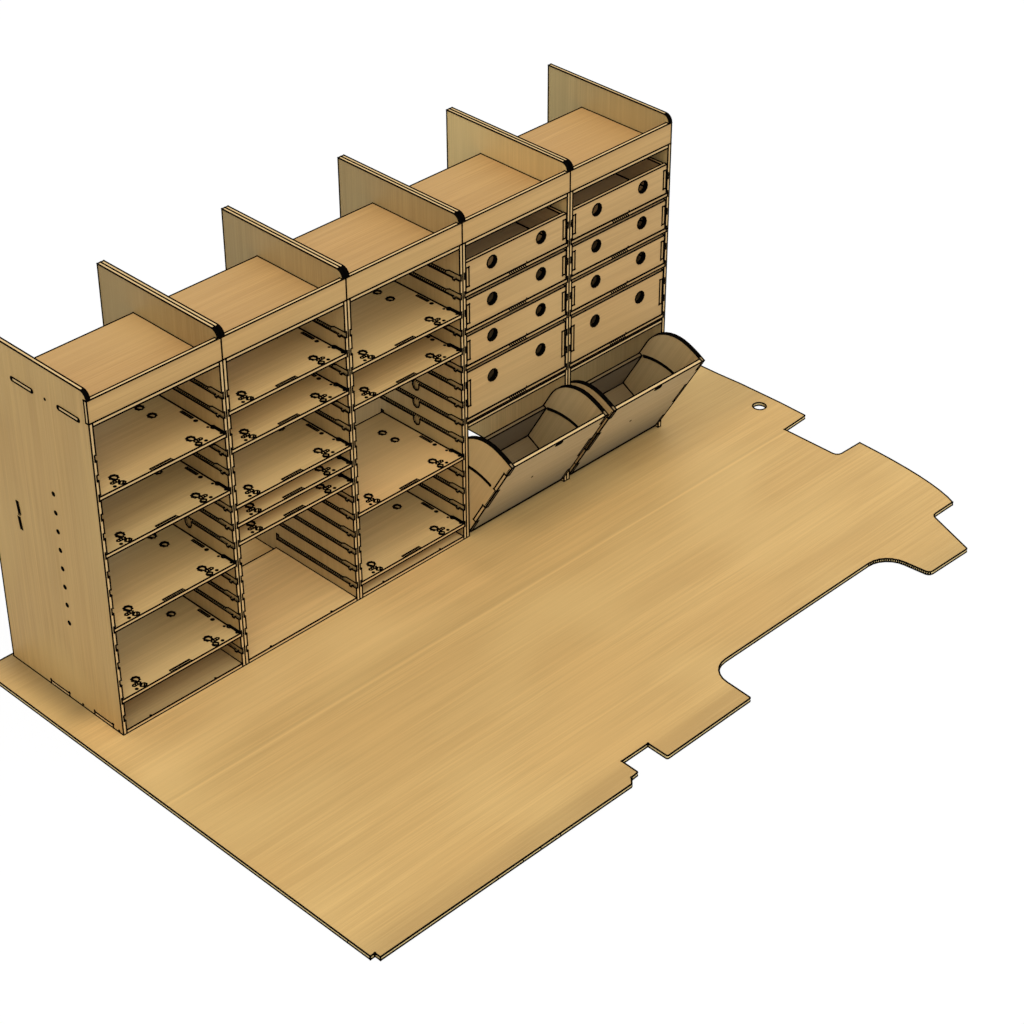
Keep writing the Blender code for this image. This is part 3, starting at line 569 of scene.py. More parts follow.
# Seeds
class Marks:
    """Lines, bars and dots of one piece, collected in the frame's metres."""

    def __init__(self):
        self.bars = []
        self.discs = []

    def line(self, points, width):
        """Flat strip along level points."""
        points = list(points)
        for start, end in zip(points, points[1:]):
            way = end - start
            size = (way.length + min(width, way.length) / 2, width, FLAT_BAR)
            self.bar((start + end) / 2, size, (0.0, 0.0, math.atan2(way.y, way.x)))

    def bar(self, spot, size, turn=(0.0, 0.0, 0.0)):
        self.bars.append((spot, size, turn))

    def disc(self, spot, diameter, depth, turn=(0.0, 0.0, 0.0)):
        self.discs.append((spot, (diameter, diameter, depth), turn))


def spot_seed(name, spots):
    seed = bpy.data.meshes.new(name)
    seed.from_pydata([tuple(spot) for spot, size, turn in spots], [], [])
    sizes = seed.attributes.new("spot_size", "FLOAT_VECTOR", "POINT")
    turns = seed.attributes.new("spot_turn", "FLOAT_VECTOR", "POINT")
    for n, (spot, size, turn) in enumerate(spots):
        sizes.data[n].vector = size
        turns.data[n].vector = turn
    return seed


def marks_mesh(name, marks):
    """One mesh of everything in a set of marks."""
    sizes = bpy.context.scene.racking_sizes
    char = get_char()
    joined = bmesh.new()
    kinds = (("bars", marks.bars, {}), ("discs", marks.discs, {"Sides": sizes.disc_sides}))
    for tree, spots, values in kinds:
        if spots:
            values["Material"] = char
            joined.from_mesh(grown(name, spot_seed(name, spots), get_tree(tree), values))
    mesh = mesh_of(name, joined)
    mesh.materials.append(char)
    return mesh


def add_piece(name, mesh, body):
    thing = add_object(name, mesh)
    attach(thing, body)


def add_marks(name, marks, body):
    add_piece(name, marks_mesh(name, marks), body)


MERGE_DISTANCE = 0.00002


def node_copy(names):
    """Merged copy of CAD nodes, for its edges only."""
    shell = bmesh.new()
    for name in names:
        shell.from_mesh(frame["nodes"][name].data)
    bmesh.ops.remove_doubles(shell, verts=shell.verts, dist=MERGE_DISTANCE)
    return shell


# Milled marks, in millimetres
# Number of runner grooves, counted from the top, and the sizes of a groove's ticks
GROOVES_BY_BAY = {1: 15, 2: 15, 3: 15, 4: 9, 5: 9}
GROOVE_DEPTH = 5.0
GROOVE_MIDDLE_DROP = 5.3
GROOVE_HEIGHT = 13.6
HATCH_START, HATCH_END = 68.0, 372.0
HATCH_LEAN, HATCH_THICKNESS = 0.45, 0.0008
POCKET_GROOVES = range(4, 12)
POCKET_DOT_BACK, POCKET_DOT_DROP, POCKET_DOT_WIDTH = 213.0, 22.0, 17.0

# Marks of a tray: (from its middle, from its front), in millimetres
RECESS_SPREAD = 138.0
RECESS_FRONTS = (50.0, 225.0, 284.0)
RECESS_DEPTH = 3.0
RECESS_SLASH = (-3.0, 13.0, 0.45)
COMB_TEETH, COMB_PITCH, COMB_LENGTH, COMB_LEAN = 12, 6.8, 12.0, 0.35
COMB_MIDDLE = -2.5
MOUTH_LINE = 222.0
SIDE_COMB_TEETH, SIDE_COMB_PITCH = 8, 7.4
SIDE_COMB_RAILS, SIDE_COMB_START = (207.8, 214.6), 131.0
HALF_RING_SIDE, HALF_RING_FRONT, HALF_RING_RADIUS, HALF_RING_STEPS = 222.5, 50.0, 7.0, 8
MOUTH_LINE_ENDS = (2.0, 374.0)
FLAT_DOTS = ((209.0, 113.7, 15.0), (212.4, 62.5, 10.0), (219.0, 10.9, 11.0), (163.5, 12.0, 12.0))
DRAWER_COMB_TEETH, DRAWER_COMB_PITCH, DRAWER_COMB_LEAN = 9, 8.8, -0.6
DRAWER_COMB_MIDDLE, DRAWER_COMB_DROP, DRAWER_COMB_HEIGHT = 1.5, 5.2, 11.5
DRAWER_TICK_ALONG, DRAWER_TICK_UP, DRAWER_TICK_HEIGHT = 44.0, 2.2, 8.0


def groove_height(groove):
    """Top of the sheet in a groove above the row's foot, in millimetres."""
    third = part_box("tray_1_1")[1].z - ROW.z
    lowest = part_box("tray_3_4")[1].z - ROW.z
    pitch = (third - lowest) / 12
    return (third - (groove - 3) * pitch) / MM


def tray_marks(body):
    """Foot recesses' slashes, latch clusters, combs, dots and mouth lines of a tray."""
    sizes = bpy.context.scene.racking_sizes
    low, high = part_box(body)
    middle = (low.x + high.x) / 2
    wide_line = sizes.mark_width
    marks = Marks()

    def spot(x, y, height=high.z):
        return Vector((middle + x * MM, low.y + y * MM, height))

    for side in (-1, 1):
        for front in RECESS_FRONTS:
            shift, length, lean = RECESS_SLASH
            place = spot(side * RECESS_SPREAD + shift, front, high.z - (RECESS_DEPTH - 0.5) * MM)
            marks.bar(place, (sizes.comb_width, length * MM, FLAT_BAR), (0.0, 0.0, lean))
        for outline in cluster_outlines(side):
            marks.line([spot(x, y) for x, y in outline], wide_line)
        for x, y, wide in FLAT_DOTS:
            marks.disc(spot(side * x, y), wide * MM, FLAT_BAR)
        across = sum(SIDE_COMB_RAILS) / 2
        width = SIDE_COMB_RAILS[1] - SIDE_COMB_RAILS[0]
        for n in range(SIDE_COMB_TEETH):
            place = spot(side * across, SIDE_COMB_START + n * SIDE_COMB_PITCH)
            marks.bar(place, (width * MM, sizes.comb_width, FLAT_BAR))
        reach = (SIDE_COMB_TEETH - 1) * SIDE_COMB_PITCH
        for x in SIDE_COMB_RAILS:
            marks.line([spot(side * x, SIDE_COMB_START + far) for far in (0.0, reach)], wide_line)
        half_ring = []
        for n in range(HALF_RING_STEPS + 1):
            angle = math.pi * n / HALF_RING_STEPS
            across = HALF_RING_SIDE - HALF_RING_RADIUS * math.sin(angle)
            half_ring.append(spot(side * across, HALF_RING_FRONT + HALF_RING_RADIUS * math.cos(angle)))
        marks.line(half_ring, wide_line)
        marks.line([spot(side * MOUTH_LINE, y) for y in MOUTH_LINE_ENDS], wide_line)
    half = (COMB_TEETH - 1) / 2 * COMB_PITCH
    for n in range(COMB_TEETH):
        place = spot(COMB_MIDDLE - half + n * COMB_PITCH, COMB_LENGTH / 2)
        marks.bar(place, (sizes.comb_width, COMB_LENGTH * MM, FLAT_BAR), (0.0, 0.0, COMB_LEAN))
    marks.line([spot(COMB_MIDDLE + end, COMB_LENGTH) for end in (-half, half)], wide_line)
    return marks


def cluster_outlines(side):
    """Latch recess beside each front foot: a pill with bars, a loop with slashes."""
    pill = [(139, 25), (160, 25), (164, 30), (160, 35), (139, 35), (135, 30), (139, 25)]
    loop = [(148, 13), (144, 20), (136, 22), (129, 18), (127, 11), (132, 5), (141, 5), (148, 13)]
    bars = [[(146, 25), (146, 35)], [(154, 25), (154, 35)], [(129, 18), (141, 5)],
            [(136, 22), (148, 13)], [(139, 25), (136, 22)]]
    for outline in [pill, loop] + bars:
        yield [(side * x, y) for x, y in outline]


def runner_hatch():
    """Ticks on the back wall of every runner groove, behind its raised mouth."""
    sizes = bpy.context.scene.racking_sizes
    pitch = sizes.hatch_pitch / MM
    size = (HATCH_THICKNESS, sizes.hatch_width, GROOVE_HEIGHT * MM / math.cos(HATCH_LEAN))
    marks = Marks()
    for bay, count in GROOVES_BY_BAY.items():
        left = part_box(f"side_panel_{bay}_left")
        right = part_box(f"side_panel_{bay}_right")
        walls = (left[0].x + PLY - GROOVE_DEPTH * MM, right[1].x - PLY + GROOVE_DEPTH * MM)
        for groove in range(1, count + 1):
            height = groove_height(groove) - GROOVE_MIDDLE_DROP
            for n in range(int((HATCH_END - HATCH_START) / pitch)):
                for wall in walls:
                    place = wall_spot(wall, HATCH_START + n * pitch, height)
                    marks.bar(place, size, (HATCH_LEAN, 0.0, 0.0))
    return marks


# Dots of an end face: back, height and diameter; and the tick between its lacing slots
END_DOTS = (
    (198.0, 1081.0, 10.5), (193.0, 6.0, 10.0), (20.0, 5.0, 10.0),
    (47.6, 14.5, 10.0), (136.1, 14.5, 10.0), (258.2, 14.5, 10.0), (349.0, 14.5, 10.0),
)
LACING_TICK_BACK, LACING_TICK_HEIGHT = 404.0, 592.5
END_MARK_THICKNESS = 0.0010
LACING_TICK_SIZE = (END_MARK_THICKNESS, 0.014, 0.003)

# Dots at the front of a bottom panel: along the bay, behind the front, and their
# diameter and thickness in metres
BOTTOM_DOTS, BOTTOM_DOT_BACK = (105.0, 354.0), 3.5
BOTTOM_DOT_SIZE = (0.009, 0.0016)


def panel_marks():
    """Pilot dots on both end faces and at the front of the bottom panels."""
    marks = Marks()
    upright = (0.0, math.pi / 2, 0.0)
    ends = (
        (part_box("side_panel_1_left")[0].x, GROOVES_BY_BAY[1]),
        (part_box("side_panel_5_right")[1].x, GROOVES_BY_BAY[5]),
    )
    for wall, count in ends:
        def dot(back, height, wide):
            marks.disc(wall_spot(wall, back, height), wide * MM, END_MARK_THICKNESS, upright)

        for groove in POCKET_GROOVES:
            if groove <= count:
                dot(POCKET_DOT_BACK, groove_height(groove) - POCKET_DOT_DROP, POCKET_DOT_WIDTH)
        for back, height, wide in END_DOTS:
            dot(back, height, wide)
        marks.bar(wall_spot(wall, LACING_TICK_BACK, LACING_TICK_HEIGHT), LACING_TICK_SIZE)
    for bay in (1, 2, 3):
        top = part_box(f"bottom_panel_{bay}")[1].z
        for across in BOTTOM_DOTS:
            spot = row_spot((bay - 1) * BAY_PITCH / MM + across, BOTTOM_DOT_BACK, 0)
            marks.disc(Vector((spot.x, spot.y, top)), *BOTTOM_DOT_SIZE)
    return marks


def drawer_marks(body):
    """The comb in the front edge of a drawer's base and the tick above it."""
    sizes = bpy.context.scene.racking_sizes
    low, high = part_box(body + "_box")
    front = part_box(body + "_front")[0]
    middle = (low.x + high.x) / 2
    marks = Marks()
    for n in range(DRAWER_COMB_TEETH):
        across = DRAWER_COMB_MIDDLE + (n - (DRAWER_COMB_TEETH - 1) / 2) * DRAWER_COMB_PITCH
        spot = Vector((middle + across * MM, low.y, front.z - DRAWER_COMB_DROP * MM))
        size = (sizes.comb_width, FLAT_BAR, DRAWER_COMB_HEIGHT * MM)
        marks.bar(spot, size, (0.0, DRAWER_COMB_LEAN, 0.0))
    tick = Vector((middle + DRAWER_TICK_ALONG * MM, front.y, front.z + DRAWER_TICK_UP * MM))
    marks.bar(tick, (sizes.comb_width, FLAT_BAR, DRAWER_TICK_HEIGHT * MM))
    return marks


# Marks of a bin's front, in millimetres from its pivot along the sloping face
BIN_DOT_UP, BIN_DOT_ALONG, BIN_DOT_WIDTH = 200.0, -31.0, 10.0
BIN_FACE_OUT = 13.0
BIN_FOOT_UP, BIN_FOOT_IN, BIN_FOOT_SPARE = -0.5, 2.0, 8.0
BIN_FOOT_SIZE = (6.0, 12.0)
BIN_TICK_RUNS = ((158.0, 250.0), (352.0, 388.0))
BIN_TICK_PITCH, BIN_TICK_IN, BIN_TICK_INSET = 7.4, 3.0, 0.4
BIN_TICK_SIZE = (1.8, 8.0)

# How far the bins lean forward at rest
BIN_TILT = math.radians(30.0)


def bin_ways():
    """Way up along a leaning bin's front, and the way out of it."""
    sine, cosine = math.sin(BIN_TILT), math.cos(BIN_TILT)
    return Vector((0.0, -sine, cosine)), Vector((0.0, -cosine, -sine))


def bin_marks(body):
    """The pilot dot, the charred foot and the finger joints' ticks of a bin's front."""
    sizes = bpy.context.scene.racking_sizes
    low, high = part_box(body + "_front")
    middle = (low.x + high.x) / 2
    marks = Marks()
    pivot = bin_pivot(body)
    upward, outward = bin_ways()

    def spot(across, up, out=BIN_FACE_OUT):
        place = pivot + upward * (up * MM) + outward * (out * MM)
        return Vector((across, place.y, place.z))

    face = (math.pi / 2 + BIN_TILT, 0.0, 0.0)
    dot = spot(middle + BIN_DOT_ALONG * MM, BIN_DOT_UP)
    marks.disc(dot, BIN_DOT_WIDTH * MM, FLAT_BAR, face)
    foot = spot(middle, BIN_FOOT_UP, BIN_FACE_OUT - BIN_FOOT_IN)
    size = (high.x - low.x - BIN_FOOT_SPARE * MM, *(side * MM for side in BIN_FOOT_SIZE))
    marks.bar(foot, size, (BIN_TILT, 0.0, 0.0))
    size = (*(side * MM for side in BIN_TICK_SIZE), sizes.comb_width)
    for start, end in BIN_TICK_RUNS:
        for n in range(int((end - start) / BIN_TICK_PITCH) + 1):
            for across in (low.x + BIN_TICK_INSET * MM, high.x - BIN_TICK_INSET * MM):
                place = spot(across, start + n * BIN_TICK_PITCH, BIN_FACE_OUT - BIN_TICK_IN)
                marks.bar(place, size, (BIN_TILT, 0.0, 0.0))
    return marks


def bin_pivot(body):
    """Middle of the pin that a bin turns on."""
    for joint in frame["joints"]:
        if joint["child"] == body:
            return Vector(joint["pos_m"])
    raise RuntimeError("no joint moves " + body)


# Ticks on the floor's edges, in millimetres from the row's start: on the near edge
# along the row, the near edge's place, and the one on the left edge
NEAR_TICKS, NEAR_EDGE = (348.0, 447.0, 518.0, 596.0), -1210.6
LEFT_TICK = (-109.2, -1100.0)
TICK_WIDTH, TICK_DEPTH = 0.0028, 0.0012
FACET_TICK = 0.0038


def floor_ticks():
    """Short upright ticks on the near edge and the curved arch corner of the floor."""
    marks = Marks()
    low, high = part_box("floor_panel")
    thick = high.z - low.z
    height = (low.z + high.z) / 2
    for along in NEAR_TICKS:
        spot = row_spot(along, NEAR_EDGE, 0)
        marks.bar(Vector((spot.x, spot.y, height)), (TICK_WIDTH, TICK_DEPTH, thick))
    spot = row_spot(*LEFT_TICK, 0)
    marks.bar(Vector((spot.x, spot.y, height)), (TICK_DEPTH, TICK_WIDTH, thick))
    for x, y in arch_corner_spots():
        marks.bar(Vector((x, y, height)), (FACET_TICK, FACET_TICK, thick))
    return marks


# Part of the near wheel arch whose cut is made of short facets: its start and end
# along the row, the facets' length, and a place behind all of it
FACETS_START, FACETS_END, FACET_PITCH = 2205.0, 2330.0, 7.4
BEHIND_FACETS = -700.0


def arch_corner_spots():
    """Places at even steps along the curved right corner of the near wheel arch."""
    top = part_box("floor_panel")[1].z
    near = row_spot(0, BEHIND_FACETS, 0).y
    start, end = row_spot(FACETS_START, 0, 0).x, row_spot(FACETS_END, 0, 0).x
    shell = node_copy(["floor_panel"])
    rim = sorted({
        (round(v.co.x, 5), round(v.co.y, 5)) for v in shell.verts
        if abs(v.co.z - top) < 0.0002 and v.co.y < near and start < v.co.x < end
    })
    shell.free()
    walked = 0.0
    for first, second in zip(rim, rim[1:]):
        way = Vector(second) - Vector(first)
        while walked < way.length:
            yield tuple(Vector(first) + way.normalized() * walked)
            walked += FACET_PITCH * MM
        walked -= way.length


def scorched_mesh(body, names, pivot):
    """Thin dark skins on the tightly curved cut faces of a body."""
    skins = bmesh.new()
    for name in names:
        shell = node_copy([name])
        kept = [face for face in shell.faces if is_curved_cut(name, face, pivot)]
        bmesh.ops.delete(
            shell, geom=[face for face in shell.faces if face not in set(kept)], context="FACES"
        )
        if not shell.faces:
            shell.free()
            continue
        offset_skin(shell)
        skin = mesh_of("skin", shell)
        skins.from_mesh(skin)
        bpy.data.meshes.remove(skin)
    mesh = mesh_of(body + "_scorched_curves", skins)
    mesh.materials.append(get_char())
    return mesh


# Thickness of a scorched skin, in metres
SKIN = 0.0005


def offset_skin(shell):
    """Turns open patches into closed skins that stand just off the wood."""
    bmesh.ops.solidify(shell, geom=shell.faces[:], thickness=-SKIN)
    bmesh.ops.recalc_face_normals(shell, faces=shell.faces[:])


# A bin's side about its pivot, in metres: top arc, rear corner and stop slot, and how
# near to them a cut face's middle lies
TOP_RADIUS, CORNER_RADIUS, STOP_RADIUS = 0.3948, 0.145, 0.251
CORNER_BACK, CORNER_RISE = 0.042, 0.2462
RIM_REACH, SLOT_REACH = 0.002, 0.0075

# The pull slot's place below the top of a bin's front, and the front's height, in metres
PULL_SLOT_REACH, BIN_FRONT_TOP = 0.03, 0.3935

# Size of a side panel's rounded front corner, in millimetres back and down
CORNER_CUT = (26.0, 27.0)

# The part of a normal along an axis below which a face counts as parallel to it
ALONG_AXIS = 0.1


def bin_corner(pivot):
    """Middle of the round rear corner of a bin's side at rest."""
    upward, outward = bin_ways()
    return pivot + upward * CORNER_RISE - outward * CORNER_BACK


def is_curved_cut(name, face, pivot):
    """Whether a face belongs to a scorched curve of its node."""
    normal = face.normal
    middle = face.calc_center_median()
    if name.startswith("side_panel"):
        corner = row_spot(0, CORNER_CUT[0], HEIGHT / MM - CORNER_CUT[1])
        return (
            abs(normal.x) < ALONG_AXIS and normal.y < -0.05 and normal.z > 0.05
            and middle.y < corner.y and middle.z > corner.z
        )
    if name.startswith("drawer") and name.endswith("front"):
        slanting = min(abs(normal.x), abs(normal.z)) > ALONG_AXIS
        return abs(normal.y) < ALONG_AXIS and slanting
    if not name.startswith("bin"):
        return False
    upward, outward = bin_ways()
    if name.endswith("tub"):
        low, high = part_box(name)
        in_side = min(middle.x - low.x, high.x - middle.x) < PLY
        away = math.hypot(middle.y - pivot.y, middle.z - pivot.z)
        corner = bin_corner(pivot)
        from_corner = math.hypot(middle.y - corner.y, middle.z - corner.z)
        on_top = away > TOP_RADIUS - RIM_REACH
        on_corner = abs(from_corner - CORNER_RADIUS) < RIM_REACH
        on_rim = (on_top or on_corner) and (middle - pivot).dot(outward) < 0.0
        in_slot = abs(away - STOP_RADIUS) < SLOT_REACH
        return abs(normal.x) < ALONG_AXIS and in_side and (on_rim or in_slot)
    along = (middle - pivot).dot(upward)
    inside = 0.0 < BIN_FRONT_TOP - along < PULL_SLOT_REACH and abs(normal.x) < 0.999
    top_edge = normal.dot(upward) > 0.99 and along > BIN_FRONT_TOP - 0.0015
    return abs(normal.dot(outward)) < ALONG_AXIS and inside and not top_edge


# Painted light and shade
# Painted shade of a bin's tub: colour factors of its back, square to Y, and of its floor, square to Z
BIN_PAINTED_FACE_SHADES = {"Y": (0.44, 0.50, 0.74, 1.0), "Z": (0.42, 0.40, 0.40, 1.0)}

# Painted shade along an axis, with painted light at the trays' fronts: darker towards a bin front's foot and
# deeper into trays, walls and drawer boxes; axis, two places on it in metres, colour factors there
BIN_PAINTED_SHADE_RAMP = ("Z", -0.100, 0.160, (0.47, 0.52, 0.60, 1.0), (1.0, 1.0, 1.0, 1.0))
TRAY_LIGHT_AND_SHADE_RAMP = ("Y", ROW.y + 0.040, ROW.y + 0.340, (1.12, 1.11, 1.08, 1.0), (0.64, 0.69, 0.69, 1.0))
WALL_PAINTED_SHADE_RAMP = ("Y", ROW.y + 0.020, ROW.y + 0.340, (1.00, 1.00, 1.02, 1.0), (0.94, 0.99, 1.08, 1.0))
DRAWER_PAINTED_SHADE_RAMP = ("Y", ROW.y + 0.040, ROW.y + 0.300, (1.0, 1.0, 1.0, 1.0), (0.72, 0.84, 1.12, 1.0))

# Patches of painted shade and painted light on the floor: start and end along the row and behind its front, how
# far out they thin away, all in millimetres, and the colour factor
FLOOR_PAINTED_LIGHT_AND_SHADE = (
    # Painted shade on the floor beside the left end panel's foot
    ((0.0, 300.0), (200.0, 560.0), 125.0, (0.50, 0.51, 0.52, 1.0)),
    # Painted shade on the floor under and in front of the bins
    ((1650.0, 2750.0), (-60.0, 100.0), 150.0, (0.82, 0.84, 0.86, 1.0)),
    # Painted light on the floor in front of bays 1 to 3
    ((-40.0, 1250.0), (-180.0, 60.0), 110.0, (1.12, 1.12, 1.14, 1.0)),
    # Darker band along the floor's near edge
    ((-200.0, 2900.0), (-1300.0, -1190.0), 110.0, (0.84, 0.84, 0.84, 1.0)),
)

# Sheets painted lighter or darker than their kind, as painted light and shade, and the painted light and shade
# ramp of each kind
SHEET_LIGHT_AND_SHADE_FACTORS = {
    "bottom_panel_1": (0.76, 0.76, 0.76), "bottom_panel_2": (1.24, 1.18, 1.12),
    "bottom_panel_3": (1.08, 1.08, 1.08), "tray_1_2": (0.86, 0.87, 0.87),
    "tray_3_3": (1.06, 0.97, 0.93),
    "side_panel_1_right": (0.80, 0.83, 0.86), "side_panel_2_right": (0.86, 0.92, 1.02),
    "side_panel_3_right": (0.88, 0.95, 1.05), "side_panel_4_right": (1.40, 1.52, 1.64),
    "side_panel_5_right": (1.00, 1.12, 1.25),
}
SHEET_LIGHT_AND_SHADE_RAMPS = {"tray": TRAY_LIGHT_AND_SHADE_RAMP, "side": WALL_PAINTED_SHADE_RAMP, "bottom": None}

# The joint of the floor's two boards, in millimetres behind the row's front, and how much paler than the others'
# the floor's cut edge is, as painted light on its shaded edges
FLOOR_JOINT_BACK, FLOOR_EDGE_PAINTED_LIGHT = -333.0, 1.35

# Kind of veneer by the start of a piece's name
VENEER_KINDS = {
    "side_panel": "upright", "front_lip": "lip", "floor_panel": "floor", "tray": "tray",
    "bottom": "tray",
}


def veneer_kind(name):
    """Kind of veneer that a piece shares with others of its sort."""
    if name.startswith("drawer"):
        return "drawer_front" if name.endswith("front") else "drawer_box"
    for start, kind in VENEER_KINDS.items():
        if name.startswith(start):
            return kind
    return "shelf"


# Operators
class RACKING_OT_grain(bpy.types.Operator):
    """Give every sheet of the racking its birch veneer and layered edges"""

    bl_idname = "racking.grain"
    bl_label = "Ply grain"

    def execute(self, context):
        colours = context.scene.racking_colours
        tones = {key: tuple(getattr(colours, key)) for key in colours.__annotations__}
        finishes = {}

        def give(kind, tone, *sheet, edge=tones["cut_edge"], **more):
            finishes[kind] = ply_finish(kind + "_ply_grain", tone, edge, *sheet, **more)

        give("upright", tones["upright"], "X")
        give("shelf", tones["shelf"], "Z")
        # Painted light and shade from front to back in the trays, and painted shade deeper into the drawer boxes
        give("tray", tones["tray"], "Z", fade=TRAY_LIGHT_AND_SHADE_RAMP)
        give("lip", tones["lip"], "Y")
        give("drawer_front", tones["drawer"], "Y")
        give(
            "drawer_box", tones["drawer"], None, grains={"X": "Y", "Y": "X", "Z": "X"},
            fade=DRAWER_PAINTED_SHADE_RAMP,
        )
        # Floor: a paler cut edge as painted light, and patches of painted shade and painted light
        give(
            "floor", tones["van_floor"], "Z", edge=shaded(tones["cut_edge"], FLOOR_EDGE_PAINTED_LIGHT),
            joint_line=row_spot(0, FLOOR_JOINT_BACK, 0).y, wear=FLOOR_PAINTED_LIGHT_AND_SHADE,
        )
        for bay in (4, 5):
            turn = (tuple(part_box(f"bin_{bay}_front")[0]), -BIN_TILT)
            # Bin fronts: greyed veneer and painted shade towards the foot; tubs: painted shade on backs and floors
            give(f"bin_{bay}_front", tones["bin_front"], "Y", turn, fade=BIN_PAINTED_SHADE_RAMP)
            give(f"bin_{bay}_tub", tones["tilt_bin"], None, turn, tints=BIN_PAINTED_FACE_SHADES)
        # Sheets with painted light and shade of their own
        for name, factors in SHEET_LIGHT_AND_SHADE_FACTORS.items():
            side = name.startswith("side_panel")
            tone = tones["upright" if side else "tray"]
            own = tuple(min(part * factor, 1.0) for part, factor in zip(tone, (*factors, 1.0)))
            give(name, own, "X" if side else "Z", fade=SHEET_LIGHT_AND_SHADE_RAMPS[name.split("_")[0]])
        for name, node in frame["nodes"].items():
            kind = name if name in finishes else veneer_kind(name)
            if not node.material_slots:
                node.data.materials.append(finishes[kind])
            for slot in node.material_slots:
                slot.material = finishes[kind]
        return {"FINISHED"}


# Width of the bars on the floor panel's edges against the others', and how far the
# lower ones hang below its underside
FLOOR_CHAR_SHARE = 1.06
UNDER_DROP = 0.0020


class RACKING_OT_charred_edges(bpy.types.Operator):
    """Char the sharp cut edges of every sheet"""

    bl_idname = "racking.charred_edges"
    bl_label = "Charred edges"

    def execute(self, context):
        sizes = context.scene.racking_sizes
        floor = ["floor_panel"]
        groups = {body: [n for n in names if n not in floor] for body, names in BODIES.items()}
        groups["floor"] = floor
        for name, nodes in groups.items():
            body, width = name, sizes.char_width
            shell = node_copy(nodes)
            if name == "floor":
                body, width = "rack", width * FLOOR_CHAR_SHARE
                for vertex in shell.verts:
                    if vertex.co.z < CAD_BOX[0][2] + MM:
                        vertex.co.z -= UNDER_DROP
            seed = mesh_of(name + "_edges", shell)
            mesh = grown(name + "_charred_edges", seed, get_tree("edge_bars"), {
                "Width": width, "Angle": sizes.char_angle,
                "Inside gain": INSIDE_GAINS.get(name, INSIDE_GAIN), "Material": get_char(),
            })
            add_piece(name + "_charred_edges", mesh, body)
        return {"FINISHED"}


class RACKING_OT_scorched_faces(bpy.types.Operator):
    """Scorch the tightly curved cuts: corners, bin rims, slots and finger holes"""

    bl_idname = "racking.scorched_faces"
    bl_label = "Scorched curves"

    def execute(self, context):
        for body, names in BODIES.items():
            if body.startswith("tray"):
                continue
            pivot = bin_pivot(body) if body.startswith("bin") else None
            mesh = scorched_mesh(body, names, pivot)
            add_piece(body + "_scorched_curves", mesh, body)
        return {"FINISHED"}


class RACKING_OT_tray_marks(bpy.types.Operator):
    """Mill the box recesses, combs and dots into each tray"""

    bl_idname = "racking.tray_marks"
    bl_label = "Tray marks"

    def execute(self, context):
        for body in BODIES:
            if body.startswith("tray"):
                add_marks(body + "_marks", tray_marks(body), body)
        return {"FINISHED"}


class RACKING_OT_panel_marks(bpy.types.Operator):
    """Hatch the runner grooves and mark the pilot holes of the fixed panels"""

    bl_idname = "racking.panel_marks"
    bl_label = "Panel marks"

    def execute(self, context):
        add_marks("runner_hatch", runner_hatch(), "rack")
        add_marks("panel_marks", panel_marks(), "rack")
        add_marks("floor_edge_ticks", floor_ticks(), "rack")
        return {"FINISHED"}


class RACKING_OT_drawer_marks(bpy.types.Operator):
    """Mill the comb into each drawer's base and the dot into each bin's front"""

    bl_idname = "racking.drawer_marks"
    bl_label = "Drawer and bin marks"

    def execute(self, context):
        for body in BODIES:
            if body.startswith("drawer"):
                add_marks(body + "_comb", drawer_marks(body), body)
            if body.startswith("bin"):
                add_marks(body + "_dot", bin_marks(body), body)
        return {"FINISHED"}


class RACKING_OT_stage(bpy.types.Operator):
    """Set the ground, the lights, the sky and the camera"""

    bl_idname = "racking.stage"
    bl_label = "Stage"

    def execute(self, context):
        colours = context.scene.racking_colours
        add_ground(tuple(colours.ground))
        add_sky()
        add_lamps()
        add_camera()
        context.scene.view_settings.view_transform = "Standard"
        return {"FINISHED"}


# Stage
def seen_directly(writer):
    """Share that is 1 for camera, mirror and see-through rays."""
    path = writer.add("ShaderNodeLightPath")
    total = path.outputs["Is Camera Ray"]
    for label in ("Is Glossy Ray", "Is Transmission Ray"):
        total = writer.maths("MAXIMUM", total, path.outputs[label])
    return total


# Half the ground's width in metres, and how white its glow is to the camera: the glow's
# strength and its share against the lit colour, which keeps the object's shadow
GROUND_REACH = 40.0
GLOW_STRENGTH, GLOW_SHARE = 1.05, 0.90


def add_ground(colour):
    """Pale ground under the floor panel that reads white but takes a shadow."""
    finish = Finish("pale_ground")
    for label, value in (("Base Color", colour), ("Roughness", 0.9), ("Specular IOR Level", 0.0)):
        finish.feed(finish.shader.inputs[label], value)
    glow = finish.add("ShaderNodeEmission", {"Color": WHITE, "Strength": GLOW_STRENGTH})
    share = finish.maths("MULTIPLY", seen_directly(finish), GLOW_SHARE)
    blend = finish.add(
        "ShaderNodeMixShader", {0: share, 1: finish.shader.outputs[0], 2: glow.outputs[0]}
    )
    finish.feed(finish.tree.nodes["Material Output"].inputs["Surface"], blend.outputs[0])
    shell = bmesh.new()
    bmesh.ops.create_grid(shell, x_segments=1, y_segments=1, size=GROUND_REACH)
    mesh = mesh_of("ground", shell)
    mesh.materials.append(finish.material)
    ground = add_object("ground", mesh)
    bar = bpy.context.scene.racking_sizes.char_width * FLOOR_CHAR_SHARE
    ground.location.z = CAD_BOX[0][2] - UNDER_DROP - bar / 2


# Light of the sky towards the horizon and overhead
HORIZON_LIGHT = 0.36
ZENITH_LIGHT = 0.95


